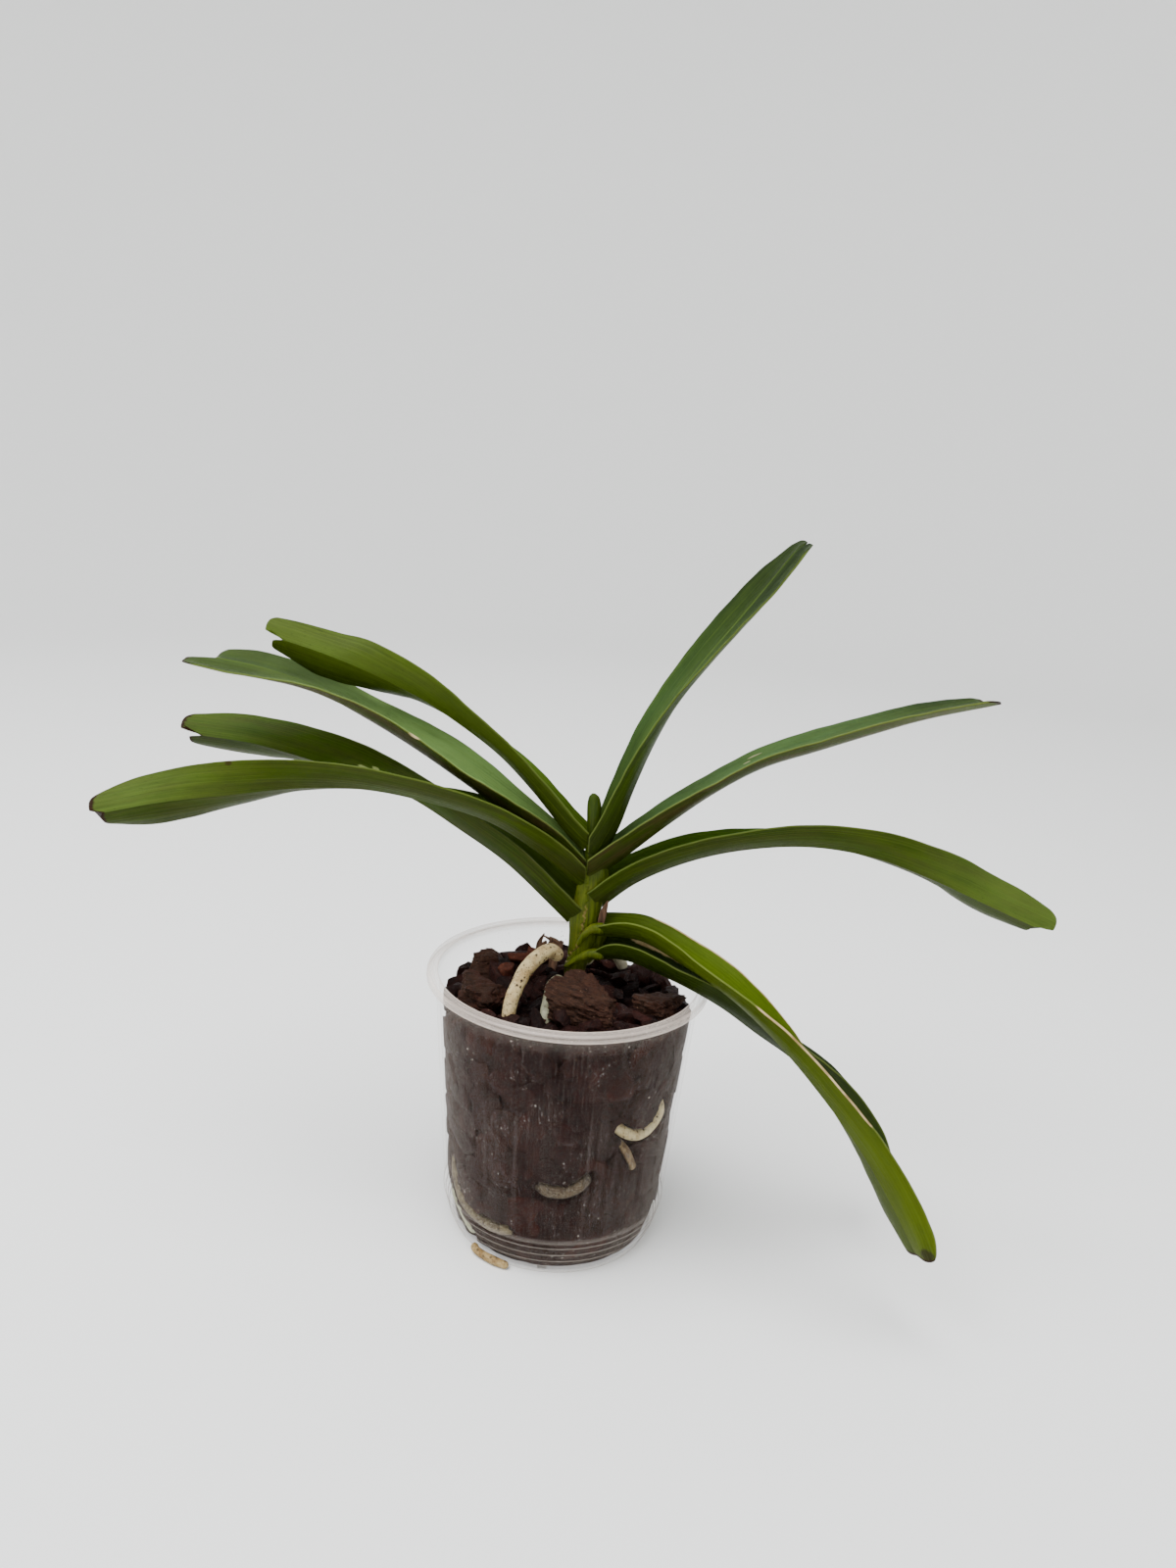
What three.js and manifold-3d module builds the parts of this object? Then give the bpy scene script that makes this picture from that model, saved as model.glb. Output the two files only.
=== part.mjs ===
// A young strap-leaved orchid growing in bark in a round translucent nursery pot.
// Units are millimetres, +Z is up, and the origin is the middle of the pot's underside.
import * as THREE from 'three';
import { mergeVertices } from 'three/addons/utils/BufferGeometryUtils.js';
import Module from 'manifold-3d';

// Driving dimensions of the pot
const POT_HEIGHT = 88;
const LIP_RADIUS = 45;
const LIP_HEIGHT = 2.6;
const LIP_INNER_RADIUS = 41.4;
const WALL_TOP_RADIUS = 42.2;
const WALL_LOW_RADIUS = 36.6;
const WALL_LOW_HEIGHT = 13;
const FOOT_RADIUS = 33;
const WALL_THICKNESS = 1;
const FLOOR_THICKNESS = 1.6;
const RING_HEIGHTS = [3.8, 6, 8.8, 11.6];
const RING_RISE = 0.5;
const POT_SIDES = 48;

// Drain notches in the bottom edge, by compass angle in degrees
const NOTCH_ANGLES = [-134, -28, 28, 90, 152];
const NOTCH_WIDTH = 11;
const NOTCH_HEIGHT = 5;
const NOTCH_DEPTH = 5;

// Room left between pieces that touch
const GAP = 0.4;

// Driving dimensions of the bark filling
const BARK_LEVEL = 76;
const BARK_STANDOFF = 1.6;
const CHIP_COUNT = 46;
const CHIP_SEED = 20;

// The plant stands a little behind the middle of the pot
const PLANT_DEPTH = 9;
const PLANT_MIDDLE = 3.2;
const MIDDLE_CLEARANCE = 0.25;
const STEM_TOP = 129;
const STEM_BOTTOM = 68;
const STEM_HALF_WIDTH = 2.7;
const STEM_HALF_DEPTH = 3.1;

// Driving dimensions shared by all leaf blades
const LEAF_HALF_WIDTH = 10.5;
const LEAF_BASE_HALF_WIDTH = 8.4;
const LEAF_WIDENING_LENGTH = 60;
const LEAF_CLASP_LENGTH = 45;
const LEAF_KEEL_THICKNESS = 1.7;
const LEAF_EDGE_THICKNESS = 0.75;
const LEAF_RINGS = 17;
const LEAF_TIP_LENGTH = 13;
const LEAF_HALF_BULGE = 0.7;
const LEAF_TIP_ROUNDING = 6;

// Where each blade's keel runs, from the crown to the tip: across, depth, height,
// how far each half stands off the fold's middle line, and how far the blade is rolled.
// nearClasp and farClasp are what a half is wider by at its foot, where it holds the stem.
const LEAVES = [
  {
    name: 'leaf_left_1', side: -1, nearLobe: 5, farLobe: 2, farClasp: 5,
    keel: [[-1.6, 9.2, 100.5], [-9.5, 10.7, 107.2], [-23.3, 13.9, 117.9], [-39, 17.5, 126.6], [-55, 20.5, 134.8],
      [-72.4, 22, 140.7], [-90.3, 23.5, 144.8], [-108.3, 25, 148.2], [-126.5, 26.5, 149.3]],
    fold: [36, 40, 40, 47, 54, 52, 46, 43, 41],
    roll: [8, 9, 9, 15, 30, 48, 65, 83, 89],
  },
  {
    name: 'leaf_left_2', side: -1, nearLobe: 4, farLobe: 0.5,
    keel: [[1.6, 8.6, 112.6], [-10.3, 7.2, 122.6], [-27.2, 4.2, 133.6], [-46.5, 1.6, 139.6], [-66.5, 0.5, 142.6],
      [-86.8, -0.5, 141.8], [-106.9, -2, 138.6], [-127, -3.5, 135.2], [-146.7, -4.8, 130.3]],
    fold: [38, 40, 50, 60, 66, 64, 59, 53, 42],
    roll: [8, 10, 10, 19, 30, 42, 64, 88, 92],
  },
  {
    name: 'leaf_left_3', side: -1, nearLobe: 6.5, farLobe: -1, nearClasp: -4, farClasp: -3,
    keel: [[1.4, 9, 118.9], [-9.5, 9.2, 127], [-24, 9.5, 136], [-38, 9.8, 145], [-52.6, 10.1, 154],
      [-68, 10.4, 162.4], [-84, 10.7, 169.8], [-101, 11.1, 174.6], [-118, 11.4, 177.1]],
    fold: [30, 30, 36, 42, 52, 61, 69, 78, 84],
    roll: [2, -2, -10, -18, -6, 2, -2, -10, -9],
  },
  {
    name: 'leaf_left_4', side: -1, nearLobe: 4, farLobe: 1.5, nearWidth: 0.86,
    keel: [[1.1, 9, 125.4], [-5.8, 9, 132.6], [-15.6, 9, 143.8], [-26.4, 9, 154.3], [-39, 9, 163.2],
      [-52, 9, 170.8], [-66, 9, 177], [-80.4, 9, 182], [-95.2, 9, 185.9]],
    fold: [35, 45, 54, 62, 64, 63, 65, 52, 46],
    roll: [5, 7, 9, 16, 25, 45, 67, 94, 88],
  },
  {
    name: 'leaf_right_1', side: 1, nearLobe: 2, farLobe: 3,
    keel: [[7.2, 7.4, 88.8], [17, 2.2, 91.9], [31.6, -7.3, 90.8], [46, -16.6, 87.7], [59.8, -13, 77.2],
      [73.1, -7.3, 66.4], [86.3, -5.1, 55.1], [97.4, -4.2, 41.5], [105, -4, 28]],
    fold: [42, 48, 54, 60, 59, 60, 54, 52, 60],
    roll: [10, 12, 13, 15, 16, 16, 12, 8, 8],
  },
  {
    name: 'leaf_right_2', side: 1, nearLobe: 2, farLobe: 1,
    keel: [[7.4, 7, 97.6], [21.6, -2.2, 100.8], [35.7, -14.9, 98.5], [49.5, -27.5, 94.4], [63.3, -36.6, 85.3],
      [76.5, -41.8, 72.5], [88.7, -44.7, 58.1], [99.4, -46.9, 42.4], [108.8, -47.8, 26.6]],
    fold: [42, 45, 49, 60, 62, 67, 72, 76, 82],
    roll: [10, 8, 4, 3, 9, 19, 29, 34, 27],
  },
  {
    name: 'leaf_right_3', side: 1, nearLobe: 7, farLobe: 0.5, farClasp: 3,
    keel: [[9, 9.1, 106.6], [20, 9.3, 116], [37, 9.7, 124.6], [55, 10, 129.7], [74.6, 10.4, 131.8],
      [94.4, 10.8, 129.7], [113.4, 11.2, 124], [131.7, 11.6, 116.9], [150, 11.9, 109.8]],
    fold: [34, 40, 45, 54, 58, 60, 54, 44, 43],
    roll: [6, 8, 7, 15, 26, 40, 50, 74, 77],
  },
  {
    name: 'leaf_right_4', side: 1, nearLobe: 6, farLobe: 1,
    keel: [[5.6, 9, 115.6], [15.6, 9, 124.6], [28, 9, 136.2], [41.2, 9, 147.3], [55.6, 9, 156.8],
      [71.8, 9, 163.5], [87.8, 9, 170], [104, 9, 176.3], [120.4, 9, 181.3]],
    fold: [34, 42, 53, 65, 66, 64, 67, 72, 78],
    roll: [4, 6, 5, 5, 5, 3, 5, 5, 8],
  },
  {
    name: 'leaf_right_5', side: 1, nearLobe: 2.5, farLobe: 2.5,
    keel: [[8.2, 9, 123.8], [12.2, 9, 133.2], [16.3, 9, 147.2], [21.1, 9, 161.3], [27.2, 9, 174.9],
      [34.9, 9, 187.7], [43.5, 9, 199.9], [51.9, 9, 212.2], [60, 9, 224.4]],
    fold: [32, 38, 49, 57, 65, 69, 70, 77, 86],
    roll: [2, 1, -3, -6, -8, -11, -14, -13, -5],
  },
];

// Roots as tubes: the path and the thickness
const ROOT_SIDES = 8;
const ROOT_STEPS = 11;
const ROOTS = [
  {
    name: 'root_arch', radius: 2.4,
    path: [[-2.9, 5.2, 89.6], [-6.2, 3, 92.9], [-10, -1.6, 92.4], [-13.4, -6, 89.8], [-15.4, -10.6, 86.6],
      [-17, -14.6, 82.6], [-17.6, -17.4, 76.5]],
  },
  {
    name: 'root_back', radius: 2.1,
    path: [[-2, 3.4, 83.4], [-4.6, -0.6, 82.6], [-5.4, -5, 80.6], [-6, -9.6, 77.6], [-6.4, -12.6, 72.4]],
  },
  {
    name: 'root_right', radius: 2.1,
    path: [[4.6, 14.6, 84], [7.4, 16.4, 87.2], [11.6, 19.2, 87.6], [15.6, 22, 85], [18.6, 24.2, 79]],
  },
];
const WALL_ROOTS = [
  {
    name: 'root_wall_right', radius: 1.9,
    turns: [[-62, 53], [-54, 49], [-45, 46.6], [-37, 47.2], [-30, 51], [-26, 57]],
  },
  {
    name: 'root_wall_front', radius: 2,
    turns: [[-108, 40], [-102, 34.5], [-94, 30.6], [-85, 29.4], [-76, 31.6], [-69, 37], [-66, 43]],
  },
  {
    name: 'root_wall_left', radius: 2,
    turns: [[-163, 58], [-162, 47], [-159, 36.5], [-155, 25], [-147, 17.2], [-134, 14.6], [-118, 14.2],
      [-102, 14]],
  },
];
const EXIT_ROOT = {
  name: 'root_exit', radius: 1.9,
  path: [[-23.6, -24.6, 2.4], [-23.4, -27.2, 2.1], [-21.2, -29.6, 2], [-17, -32.6, 2], [-12.6, -35.6, 2]],
};

// The large chips lying on top: centre, half sizes, turn and lean in degrees
const LOOSE_CHIPS = [
  { name: 'chip_front', at: [5.5, -9, 80.6], half: [12.5, 9.5, 5], turn: -12, lean: 16, seed: 3 },
  { name: 'chip_left', at: [-26.5, -6, 79.6], half: [8.6, 8, 6], turn: 25, lean: 8, seed: 8 },
  { name: 'chip_back_left', at: [-27.5, 15.5, 80], half: [5.6, 6, 6.4], turn: 10, lean: -6, seed: 5 },
  { name: 'chip_right', at: [28.6, -5, 79], half: [7.4, 8.6, 5.6], turn: -30, lean: -10, seed: 9 },
];

function material(color, roughness, opacity = 1) {
  const made = new THREE.MeshStandardMaterial({ color, roughness, metalness: 0 });
  made.transparent = opacity < 1;
  made.opacity = opacity;
  return made;
}

function radians(degrees) {
  return THREE.MathUtils.degToRad(degrees);
}

// Repeatable numbers between 0 and 1 for the bark chips
function seededNumbers(seed) {
  let state = seed * 7919 + 17;
  return () => {
    state = (state * 16807) % 2147483647;
    return state / 2147483647;
  };
}

const wasm = await Module();
wasm.setup();

// Positions and faces as a closed solid for cutting and joining
function toSolid(geometry) {
  const bare = new THREE.BufferGeometry();
  bare.setAttribute('position', geometry.getAttribute('position').clone());
  if (geometry.index) bare.setIndex(geometry.index.clone());
  const merged = mergeVertices(bare, 1e-4);
  return new wasm.Manifold(new wasm.Mesh({
    numProp: 3,
    vertProperties: new Float32Array(merged.getAttribute('position').array),
    triVerts: new Uint32Array(merged.index.array),
  }));
}

function toMesh(name, solid, look) {
  const data = solid.getMesh();
  const geometry = new THREE.BufferGeometry();
  geometry.setAttribute('position', new THREE.BufferAttribute(new Float32Array(data.vertProperties), 3));
  geometry.setIndex(new THREE.BufferAttribute(new Uint32Array(data.triVerts), 1));
  geometry.computeVertexNormals();
  const mesh = new THREE.Mesh(geometry, look);
  mesh.name = name;
  return mesh;
}

function largestPart(solid) {
  const parts = solid.decompose();
  return parts.reduce((best, part) => (part.volume() > best.volume() ? part : best));
}

function turnedSolid(profile) {
  const lathe = new THREE.LatheGeometry(profile.map(([r, z]) => new THREE.Vector2(r, z)), POT_SIDES);
  lathe.rotateX(Math.PI / 2);
  return toSolid(lathe);
}

// The outer wall's radius at a height, straight from the low part to the lip
function wallRadius(height) {
  const share = (height - WALL_LOW_HEIGHT) / (POT_HEIGHT - LIP_HEIGHT - WALL_LOW_HEIGHT);
  if (share > 0) return WALL_LOW_RADIUS + (WALL_TOP_RADIUS - WALL_LOW_RADIUS) * Math.min(share, 1);
  return FOOT_RADIUS + (WALL_LOW_RADIUS - FOOT_RADIUS) * (height / WALL_LOW_HEIGHT);
}

function potProfile() {
  const outer = [[0, 0], [FOOT_RADIUS, 0]];
  for (const height of RING_HEIGHTS) {
    outer.push([wallRadius(height - 0.6), height - 0.6]);
    outer.push([wallRadius(height) + RING_RISE, height - 0.1]);
    outer.push([wallRadius(height + 0.6), height + 0.6]);
  }
  outer.push([WALL_LOW_RADIUS, WALL_LOW_HEIGHT]);
  const lip = [
    [WALL_TOP_RADIUS, POT_HEIGHT - LIP_HEIGHT],
    [LIP_RADIUS - 0.3, POT_HEIGHT - LIP_HEIGHT + 0.2],
    [LIP_RADIUS, POT_HEIGHT - 0.9],
    [LIP_RADIUS - 0.7, POT_HEIGHT],
    [LIP_INNER_RADIUS + 0.4, POT_HEIGHT],
    [LIP_INNER_RADIUS, POT_HEIGHT - 0.5],
    [LIP_INNER_RADIUS - 0.2, POT_HEIGHT - LIP_HEIGHT - 0.6],
  ];
  const inner = [
    [WALL_LOW_RADIUS - WALL_THICKNESS, WALL_LOW_HEIGHT],
    [FOOT_RADIUS - WALL_THICKNESS + 0.4, FLOOR_THICKNESS],
    [0, FLOOR_THICKNESS],
  ];
  return [...outer, ...lip, ...inner];
}

function notchCutter(angle) {
  const half = NOTCH_WIDTH / 2;
  const outline = new THREE.Shape([
    new THREE.Vector2(-half, -1),
    new THREE.Vector2(half, -1),
    new THREE.Vector2(half * 0.86, NOTCH_HEIGHT * 0.62),
    new THREE.Vector2(half * 0.4, NOTCH_HEIGHT),
    new THREE.Vector2(-half * 0.5, NOTCH_HEIGHT * 0.9),
    new THREE.Vector2(-half * 0.8, NOTCH_HEIGHT * 0.5),
  ]);
  const cutter = new THREE.ExtrudeGeometry(outline, { depth: 20, bevelEnabled: false, steps: 1 });
  cutter.rotateX(Math.PI / 2);
  cutter.rotateZ(Math.PI / 2);
  cutter.translate(FOOT_RADIUS - NOTCH_DEPTH, 0, 0);
  cutter.rotateZ(radians(angle));
  return toSolid(cutter);
}

function makePot() {
  let pot = turnedSolid(potProfile());
  for (const angle of NOTCH_ANGLES) pot = pot.subtract(notchCutter(angle));
  return toMesh('pot', pot, material(0xcfcbd0, 0.35, 0.45));
}

// One bark chip: a lump with flat broken faces
function chipSolid({ at, half, turn, lean, seed }, grow = 0) {
  const next = seededNumbers(seed);
  const corners = [];
  const rotation = new THREE.Matrix4().makeRotationFromEuler(
    new THREE.Euler(radians(lean), radians(lean * 0.6), radians(turn), 'ZYX'));
  for (const [sx, sy, sz] of [[-1, -1, -1], [1, -1, -1], [1, 1, -1], [-1, 1, -1],
    [-1, -1, 1], [1, -1, 1], [1, 1, 1], [-1, 1, 1], [0, -1.15, 0.2], [1.15, 0, 0], [-1.15, 0, 0.1]]) {
    const corner = new THREE.Vector3(
      sx * (half[0] * (0.72 + 0.28 * next()) + grow),
      sy * (half[1] * (0.72 + 0.28 * next()) + grow),
      sz * (half[2] * (0.68 + 0.32 * next()) + grow));
    corner.applyMatrix4(rotation).add(new THREE.Vector3(...at));
    corners.push([corner.x, corner.y, corner.z]);
  }
  return wasm.Manifold.hull(corners);
}

// The bark filling's outer form: just inside the wall, from the floor to the level of the bark
function barkColumn() {
  const room = WALL_THICKNESS + GAP;
  return turnedSolid([
    [0, FLOOR_THICKNESS + GAP],
    [FOOT_RADIUS - room - BARK_STANDOFF, FLOOR_THICKNESS + GAP],
    [WALL_LOW_RADIUS - room - BARK_STANDOFF, WALL_LOW_HEIGHT],
    [wallRadius(BARK_LEVEL) - room - BARK_STANDOFF, BARK_LEVEL],
    [0, BARK_LEVEL + 2],
  ]);
}

// Room inside the pot that the chips on top must stay in
function barkLimit() {
  const room = WALL_THICKNESS + GAP;
  return turnedSolid([
    [0, BARK_LEVEL - 10],
    [wallRadius(BARK_LEVEL - 10) - room - 0.4, BARK_LEVEL - 10],
    [LIP_INNER_RADIUS - 0.2 - GAP - 0.2, POT_HEIGHT - LIP_HEIGHT - 1],
    [LIP_INNER_RADIUS - 4, POT_HEIGHT + 6],
    [0, POT_HEIGHT + 6],
  ]);
}

// Small chips spread over the surface by the sunflower rule, each leaning its own way
function scatteredChips() {
  const next = seededNumbers(CHIP_SEED);
  const chips = [];
  for (let i = 0; i < CHIP_COUNT; i += 1) {
    const reach = (LIP_INNER_RADIUS - 5) * Math.sqrt((i + 0.5) / CHIP_COUNT);
    const angle = i * 2.39996 + next() * 0.3;
    chips.push(chipSolid({
      at: [reach * Math.cos(angle), reach * Math.sin(angle), BARK_LEVEL + 0.4 + 2.6 * next()],
      half: [3.6 + 2.6 * next(), 2.8 + 2.4 * next(), 1.8 + 1.6 * next()],
      turn: 360 * next(),
      lean: 50 * (next() - 0.5),
      seed: i + 30,
    }));
  }
  return chips;
}

function makeBark(holes) {
  let bark = barkColumn().add(wasm.Manifold.union(scatteredChips()).intersect(barkLimit()));
  for (const chip of LOOSE_CHIPS) bark = bark.subtract(chipSolid(chip, GAP));
  for (const hole of holes) bark = bark.subtract(hole);
  return toMesh('bark_bed', largestPart(bark), material(0x4a3029, 0.9));
}

// A round root along a smooth path, drawn in to a blunt point at both ends
function rootSolid({ path: points, radius: bareRadius }, grow = 0) {
  const radius = bareRadius + grow;
  const places = points.map((p) => new THREE.Vector3(...p));
  const lengthen = (end, before) => end.add(end.clone().sub(before).setLength(grow * 1.2));
  if (grow > 0) {
    lengthen(places[0], places[1]);
    lengthen(places[places.length - 1], places[places.length - 2]);
  }
  const path = new THREE.CatmullRomCurve3(places);
  const circle = new THREE.Shape();
  for (let i = 0; i < ROOT_SIDES; i += 1) {
    const turn = (i / ROOT_SIDES) * 2 * Math.PI;
    const point = [radius * Math.cos(turn), radius * Math.sin(turn)];
    if (i === 0) circle.moveTo(...point);
    else circle.lineTo(...point);
  }
  circle.closePath();
  return toSolid(new THREE.ExtrudeGeometry(circle, { steps: ROOT_STEPS, extrudePath: path, bevelEnabled: false }));
}

// A root lying against the inside of the wall: compass angle and height at each turn
function wallRootPath({ turns, radius }) {
  return turns.map(([angle, height]) => {
    const reach = wallRadius(height) - WALL_THICKNESS - GAP - radius - 0.25;
    return [reach * Math.cos(radians(angle)), reach * Math.sin(radians(angle)), height];
  });
}

function smoothStep(share) {
  const t = Math.min(Math.max(share, 0), 1);
  return t * t * (3 - 2 * t);
}

// Reads a list of settings at a share of the blade's length
function alongBlade(values, share) {
  const place = share * (values.length - 1);
  const low = Math.min(Math.floor(place), values.length - 2);
  const part = place - low;
  return values[low] * (1 - part) + values[low + 1] * part;
}

// The half blade's width is cut off where it would cross the plant's middle plane
function clippedWidth(width, keelX, directionX, side, grow) {
  const room = side * (keelX - PLANT_MIDDLE) - MIDDLE_CLEARANCE + 2 * grow;
  const inward = -side * directionX;
  if (inward <= 0) return width;
  return Math.min(width, Math.max(room, 0.6) / inward);
}

// The blade's own directions at a place along its keel
function bladeFrame(leaf, curve, share) {
  const along = curve.getTangent(share).normalize();
  const front = new THREE.Vector3(0, -1, 0);
  front.addScaledVector(along, -front.dot(along)).normalize();
  const up = new THREE.Vector3().crossVectors(along, front).multiplyScalar(-leaf.side);
  return { along, front, up };
}

// The near half (hand 1) or far half (hand -1): which way it runs from the keel, and its inside
function bladeHalf({ front, up }, angle, hand, lobe) {
  const direction = front.clone().multiplyScalar(hand * Math.sin(angle)).addScaledVector(up, Math.cos(angle));
  const inside = front.clone().multiplyScalar(-hand * Math.cos(angle)).addScaledVector(up, Math.sin(angle));
  return { direction, inside, lobe };
}

// One ring of points round the folded blade: the underside then the upper side
function bladeRing(leaf, curve, length, ring, grow) {
  const share = ring / (LEAF_RINGS - 1);
  const frame = bladeFrame(leaf, curve, share);
  const overrun = (ring === LEAF_RINGS - 1) - (ring === 0);
  const keel = curve.getPoint(share).addScaledVector(frame.along, overrun * grow);
  const widening = Math.min((share * length) / LEAF_WIDENING_LENGTH, 1);
  const tipShare = 1 - Math.min(((1 - share) * length) / LEAF_TIP_LENGTH, 1);
  const fullWidth = (LEAF_BASE_HALF_WIDTH + (LEAF_HALF_WIDTH - LEAF_BASE_HALF_WIDTH) * widening)
    * (1 - 0.22 * tipShare * tipShare);
  const fold = radians(alongBlade(leaf.fold, share));
  const roll = radians(alongBlade(leaf.roll, share));
  const near = bladeHalf(frame, fold - roll, 1, leaf.nearLobe);
  const far = bladeHalf(frame, fold + roll, -1, leaf.farLobe);
  const clasp = Math.max(1 - (share * length) / LEAF_CLASP_LENGTH, 0);
  const nearWidth = fullWidth * (leaf.nearWidth ?? 1) + (leaf.nearClasp ?? 0) * clasp;
  const farWidth = fullWidth + (leaf.farClasp ?? 0) * clasp;
  near.width = clippedWidth(nearWidth, keel.x, near.direction.x, leaf.side, grow);
  far.width = clippedWidth(farWidth, keel.x, far.direction.x, leaf.side, grow);
  const slope = Math.tan(Math.min(fold, 1.5));
  const keelThickness = Math.min(LEAF_KEEL_THICKNESS, 0.75 * Math.min(near.width, far.width) * slope) + grow;
  const foldOffset = keelThickness / slope;
  const place = (half, part, reach, depth) => {
    const bulge = -LEAF_HALF_BULGE * Math.sin(Math.PI * part) * Math.min(half.width / 8, 1);
    const lobeShift = tipShare * tipShare * (half.lobe * smoothStep(part / 0.33)
      - LEAF_TIP_ROUNDING * smoothStep((part - 0.5) / 0.7));
    return keel.clone().addScaledVector(half.direction, reach).addScaledVector(half.inside, bulge + depth)
      .addScaledVector(frame.along, lobeShift);
  };
  const thickness = (part) => keelThickness - grow
    + (LEAF_EDGE_THICKNESS - keelThickness + grow) * Math.sqrt(part);
  const underside = [];
  const upperside = [];
  const columns = [[near, 1], [near, 0.66], [near, 0.33], [near, 0], [far, 0.33], [far, 0.66], [far, 1]];
  for (const [half, part] of columns) {
    const rim = half.width + (part === 1 ? grow : 0);
    const keelSide = part === 0 ? -grow / slope : 0;
    underside.push(place(half, part, part * rim + keelSide, -grow));
    upperside.push(place(half, part, foldOffset + part * (rim - foldOffset), thickness(part) + grow));
  }
  return { underside, upperside };
}

// A folded blade as a closed solid, split into triangles alike on both faces
function bladeSolid(leaf, grow = 0) {
  const curve = new THREE.CatmullRomCurve3(leaf.keel.map((p) => new THREE.Vector3(...p)), false, 'centripetal');
  const length = curve.getLength();
  const positions = [];
  const faces = [];
  const columns = 7;
  const indexOf = (ring, face, column) => (ring * 2 + face) * columns + column;
  for (let ring = 0; ring < LEAF_RINGS; ring += 1) {
    const { underside, upperside } = bladeRing(leaf, curve, length, ring, grow);
    for (const point of [...underside, ...upperside]) positions.push(point.x, point.y, point.z);
  }
  const quad = (a, b, c, d) => faces.push(a, b, c, a, c, d);
  for (let ring = 0; ring < LEAF_RINGS - 1; ring += 1) {
    for (let column = 0; column < columns - 1; column += 1) {
      quad(indexOf(ring, 0, column), indexOf(ring, 0, column + 1),
        indexOf(ring + 1, 0, column + 1), indexOf(ring + 1, 0, column));
      faces.push(indexOf(ring, 1, column), indexOf(ring + 1, 1, column + 1), indexOf(ring, 1, column + 1));
      faces.push(indexOf(ring, 1, column), indexOf(ring + 1, 1, column), indexOf(ring + 1, 1, column + 1));
    }
    quad(indexOf(ring, 0, 0), indexOf(ring + 1, 0, 0), indexOf(ring + 1, 1, 0), indexOf(ring, 1, 0));
    quad(indexOf(ring, 0, columns - 1), indexOf(ring, 1, columns - 1),
      indexOf(ring + 1, 1, columns - 1), indexOf(ring + 1, 0, columns - 1));
  }
  for (let column = 0; column < columns - 1; column += 1) {
    quad(indexOf(0, 0, column), indexOf(0, 1, column), indexOf(0, 1, column + 1), indexOf(0, 0, column + 1));
    const last = LEAF_RINGS - 1;
    quad(indexOf(last, 0, column), indexOf(last, 0, column + 1),
      indexOf(last, 1, column + 1), indexOf(last, 1, column));
  }
  if (leaf.side < 0) {
    for (let i = 0; i < faces.length; i += 3) [faces[i + 1], faces[i + 2]] = [faces[i + 2], faces[i + 1]];
  }
  const geometry = new THREE.BufferGeometry();
  geometry.setAttribute('position', new THREE.Float32BufferAttribute(positions, 3));
  geometry.setIndex(faces);
  return toSolid(geometry);
}

// A tapered upright body with an oval cross-section
function ovalColumn(levels) {
  const sides = 14;
  const positions = [];
  const faces = [];
  for (const { x, y, z, halfWidth, halfDepth } of levels) {
    for (let i = 0; i < sides; i += 1) {
      const turn = (i / sides) * 2 * Math.PI;
      positions.push(x + halfWidth * Math.cos(turn), y + halfDepth * Math.sin(turn), z);
    }
  }
  for (let level = 0; level < levels.length - 1; level += 1) {
    for (let i = 0; i < sides; i += 1) {
      const here = level * sides + i;
      const beside = level * sides + ((i + 1) % sides);
      faces.push(here, beside, beside + sides, here, beside + sides, here + sides);
    }
  }
  const top = (levels.length - 1) * sides;
  for (let i = 1; i < sides - 1; i += 1) {
    faces.push(0, i + 1, i);
    faces.push(top, top + i, top + i + 1);
  }
  const geometry = new THREE.BufferGeometry();
  geometry.setAttribute('position', new THREE.Float32BufferAttribute(positions, 3));
  geometry.setIndex(faces);
  return toSolid(geometry);
}

// The stem inside its leaf sheaths, widest where the sheaths open into blades
function stemSolid(grow = 0) {
  const level = (z, x, wide, deep) => ({
    x, y: PLANT_DEPTH, z, halfWidth: wide + grow, halfDepth: deep + grow,
  });
  return ovalColumn([
    level(STEM_BOTTOM - grow, 2.2, STEM_HALF_WIDTH * 0.9, STEM_HALF_DEPTH * 0.9),
    level(85, 1.9, STEM_HALF_WIDTH, STEM_HALF_DEPTH),
    level(91, 2.9, STEM_HALF_WIDTH * 1.25, STEM_HALF_DEPTH),
    level(97, 3.7, STEM_HALF_WIDTH * 1.55, STEM_HALF_DEPTH),
    level(103, 3.8, STEM_HALF_WIDTH * 1.7, STEM_HALF_DEPTH),
    level(110, 5.1, STEM_HALF_WIDTH * 1.75, STEM_HALF_DEPTH * 0.85),
    level(116, 6, STEM_HALF_WIDTH * 1.8, STEM_HALF_DEPTH * 0.7),
    level(121, 6.2, STEM_HALF_WIDTH * 1.3, STEM_HALF_DEPTH * 0.55),
    level(STEM_TOP + grow, 3.8, STEM_HALF_WIDTH * 0.5, STEM_HALF_DEPTH * 0.45),
  ]);
}

function youngLeafSolid() {
  const level = (z, x, halfWidth, halfDepth) => ({ x, y: PLANT_DEPTH - 0.2, z, halfWidth, halfDepth });
  return ovalColumn([
    level(STEM_TOP + GAP, 4, 1.4, 1.2),
    level(136, 4.3, 2.1, 1.5),
    level(141, 4.1, 2.2, 1.3),
    level(143.6, 3.9, 1.6, 0.9),
    level(144.7, 3.7, 0.7, 0.5),
  ]);
}

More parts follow.
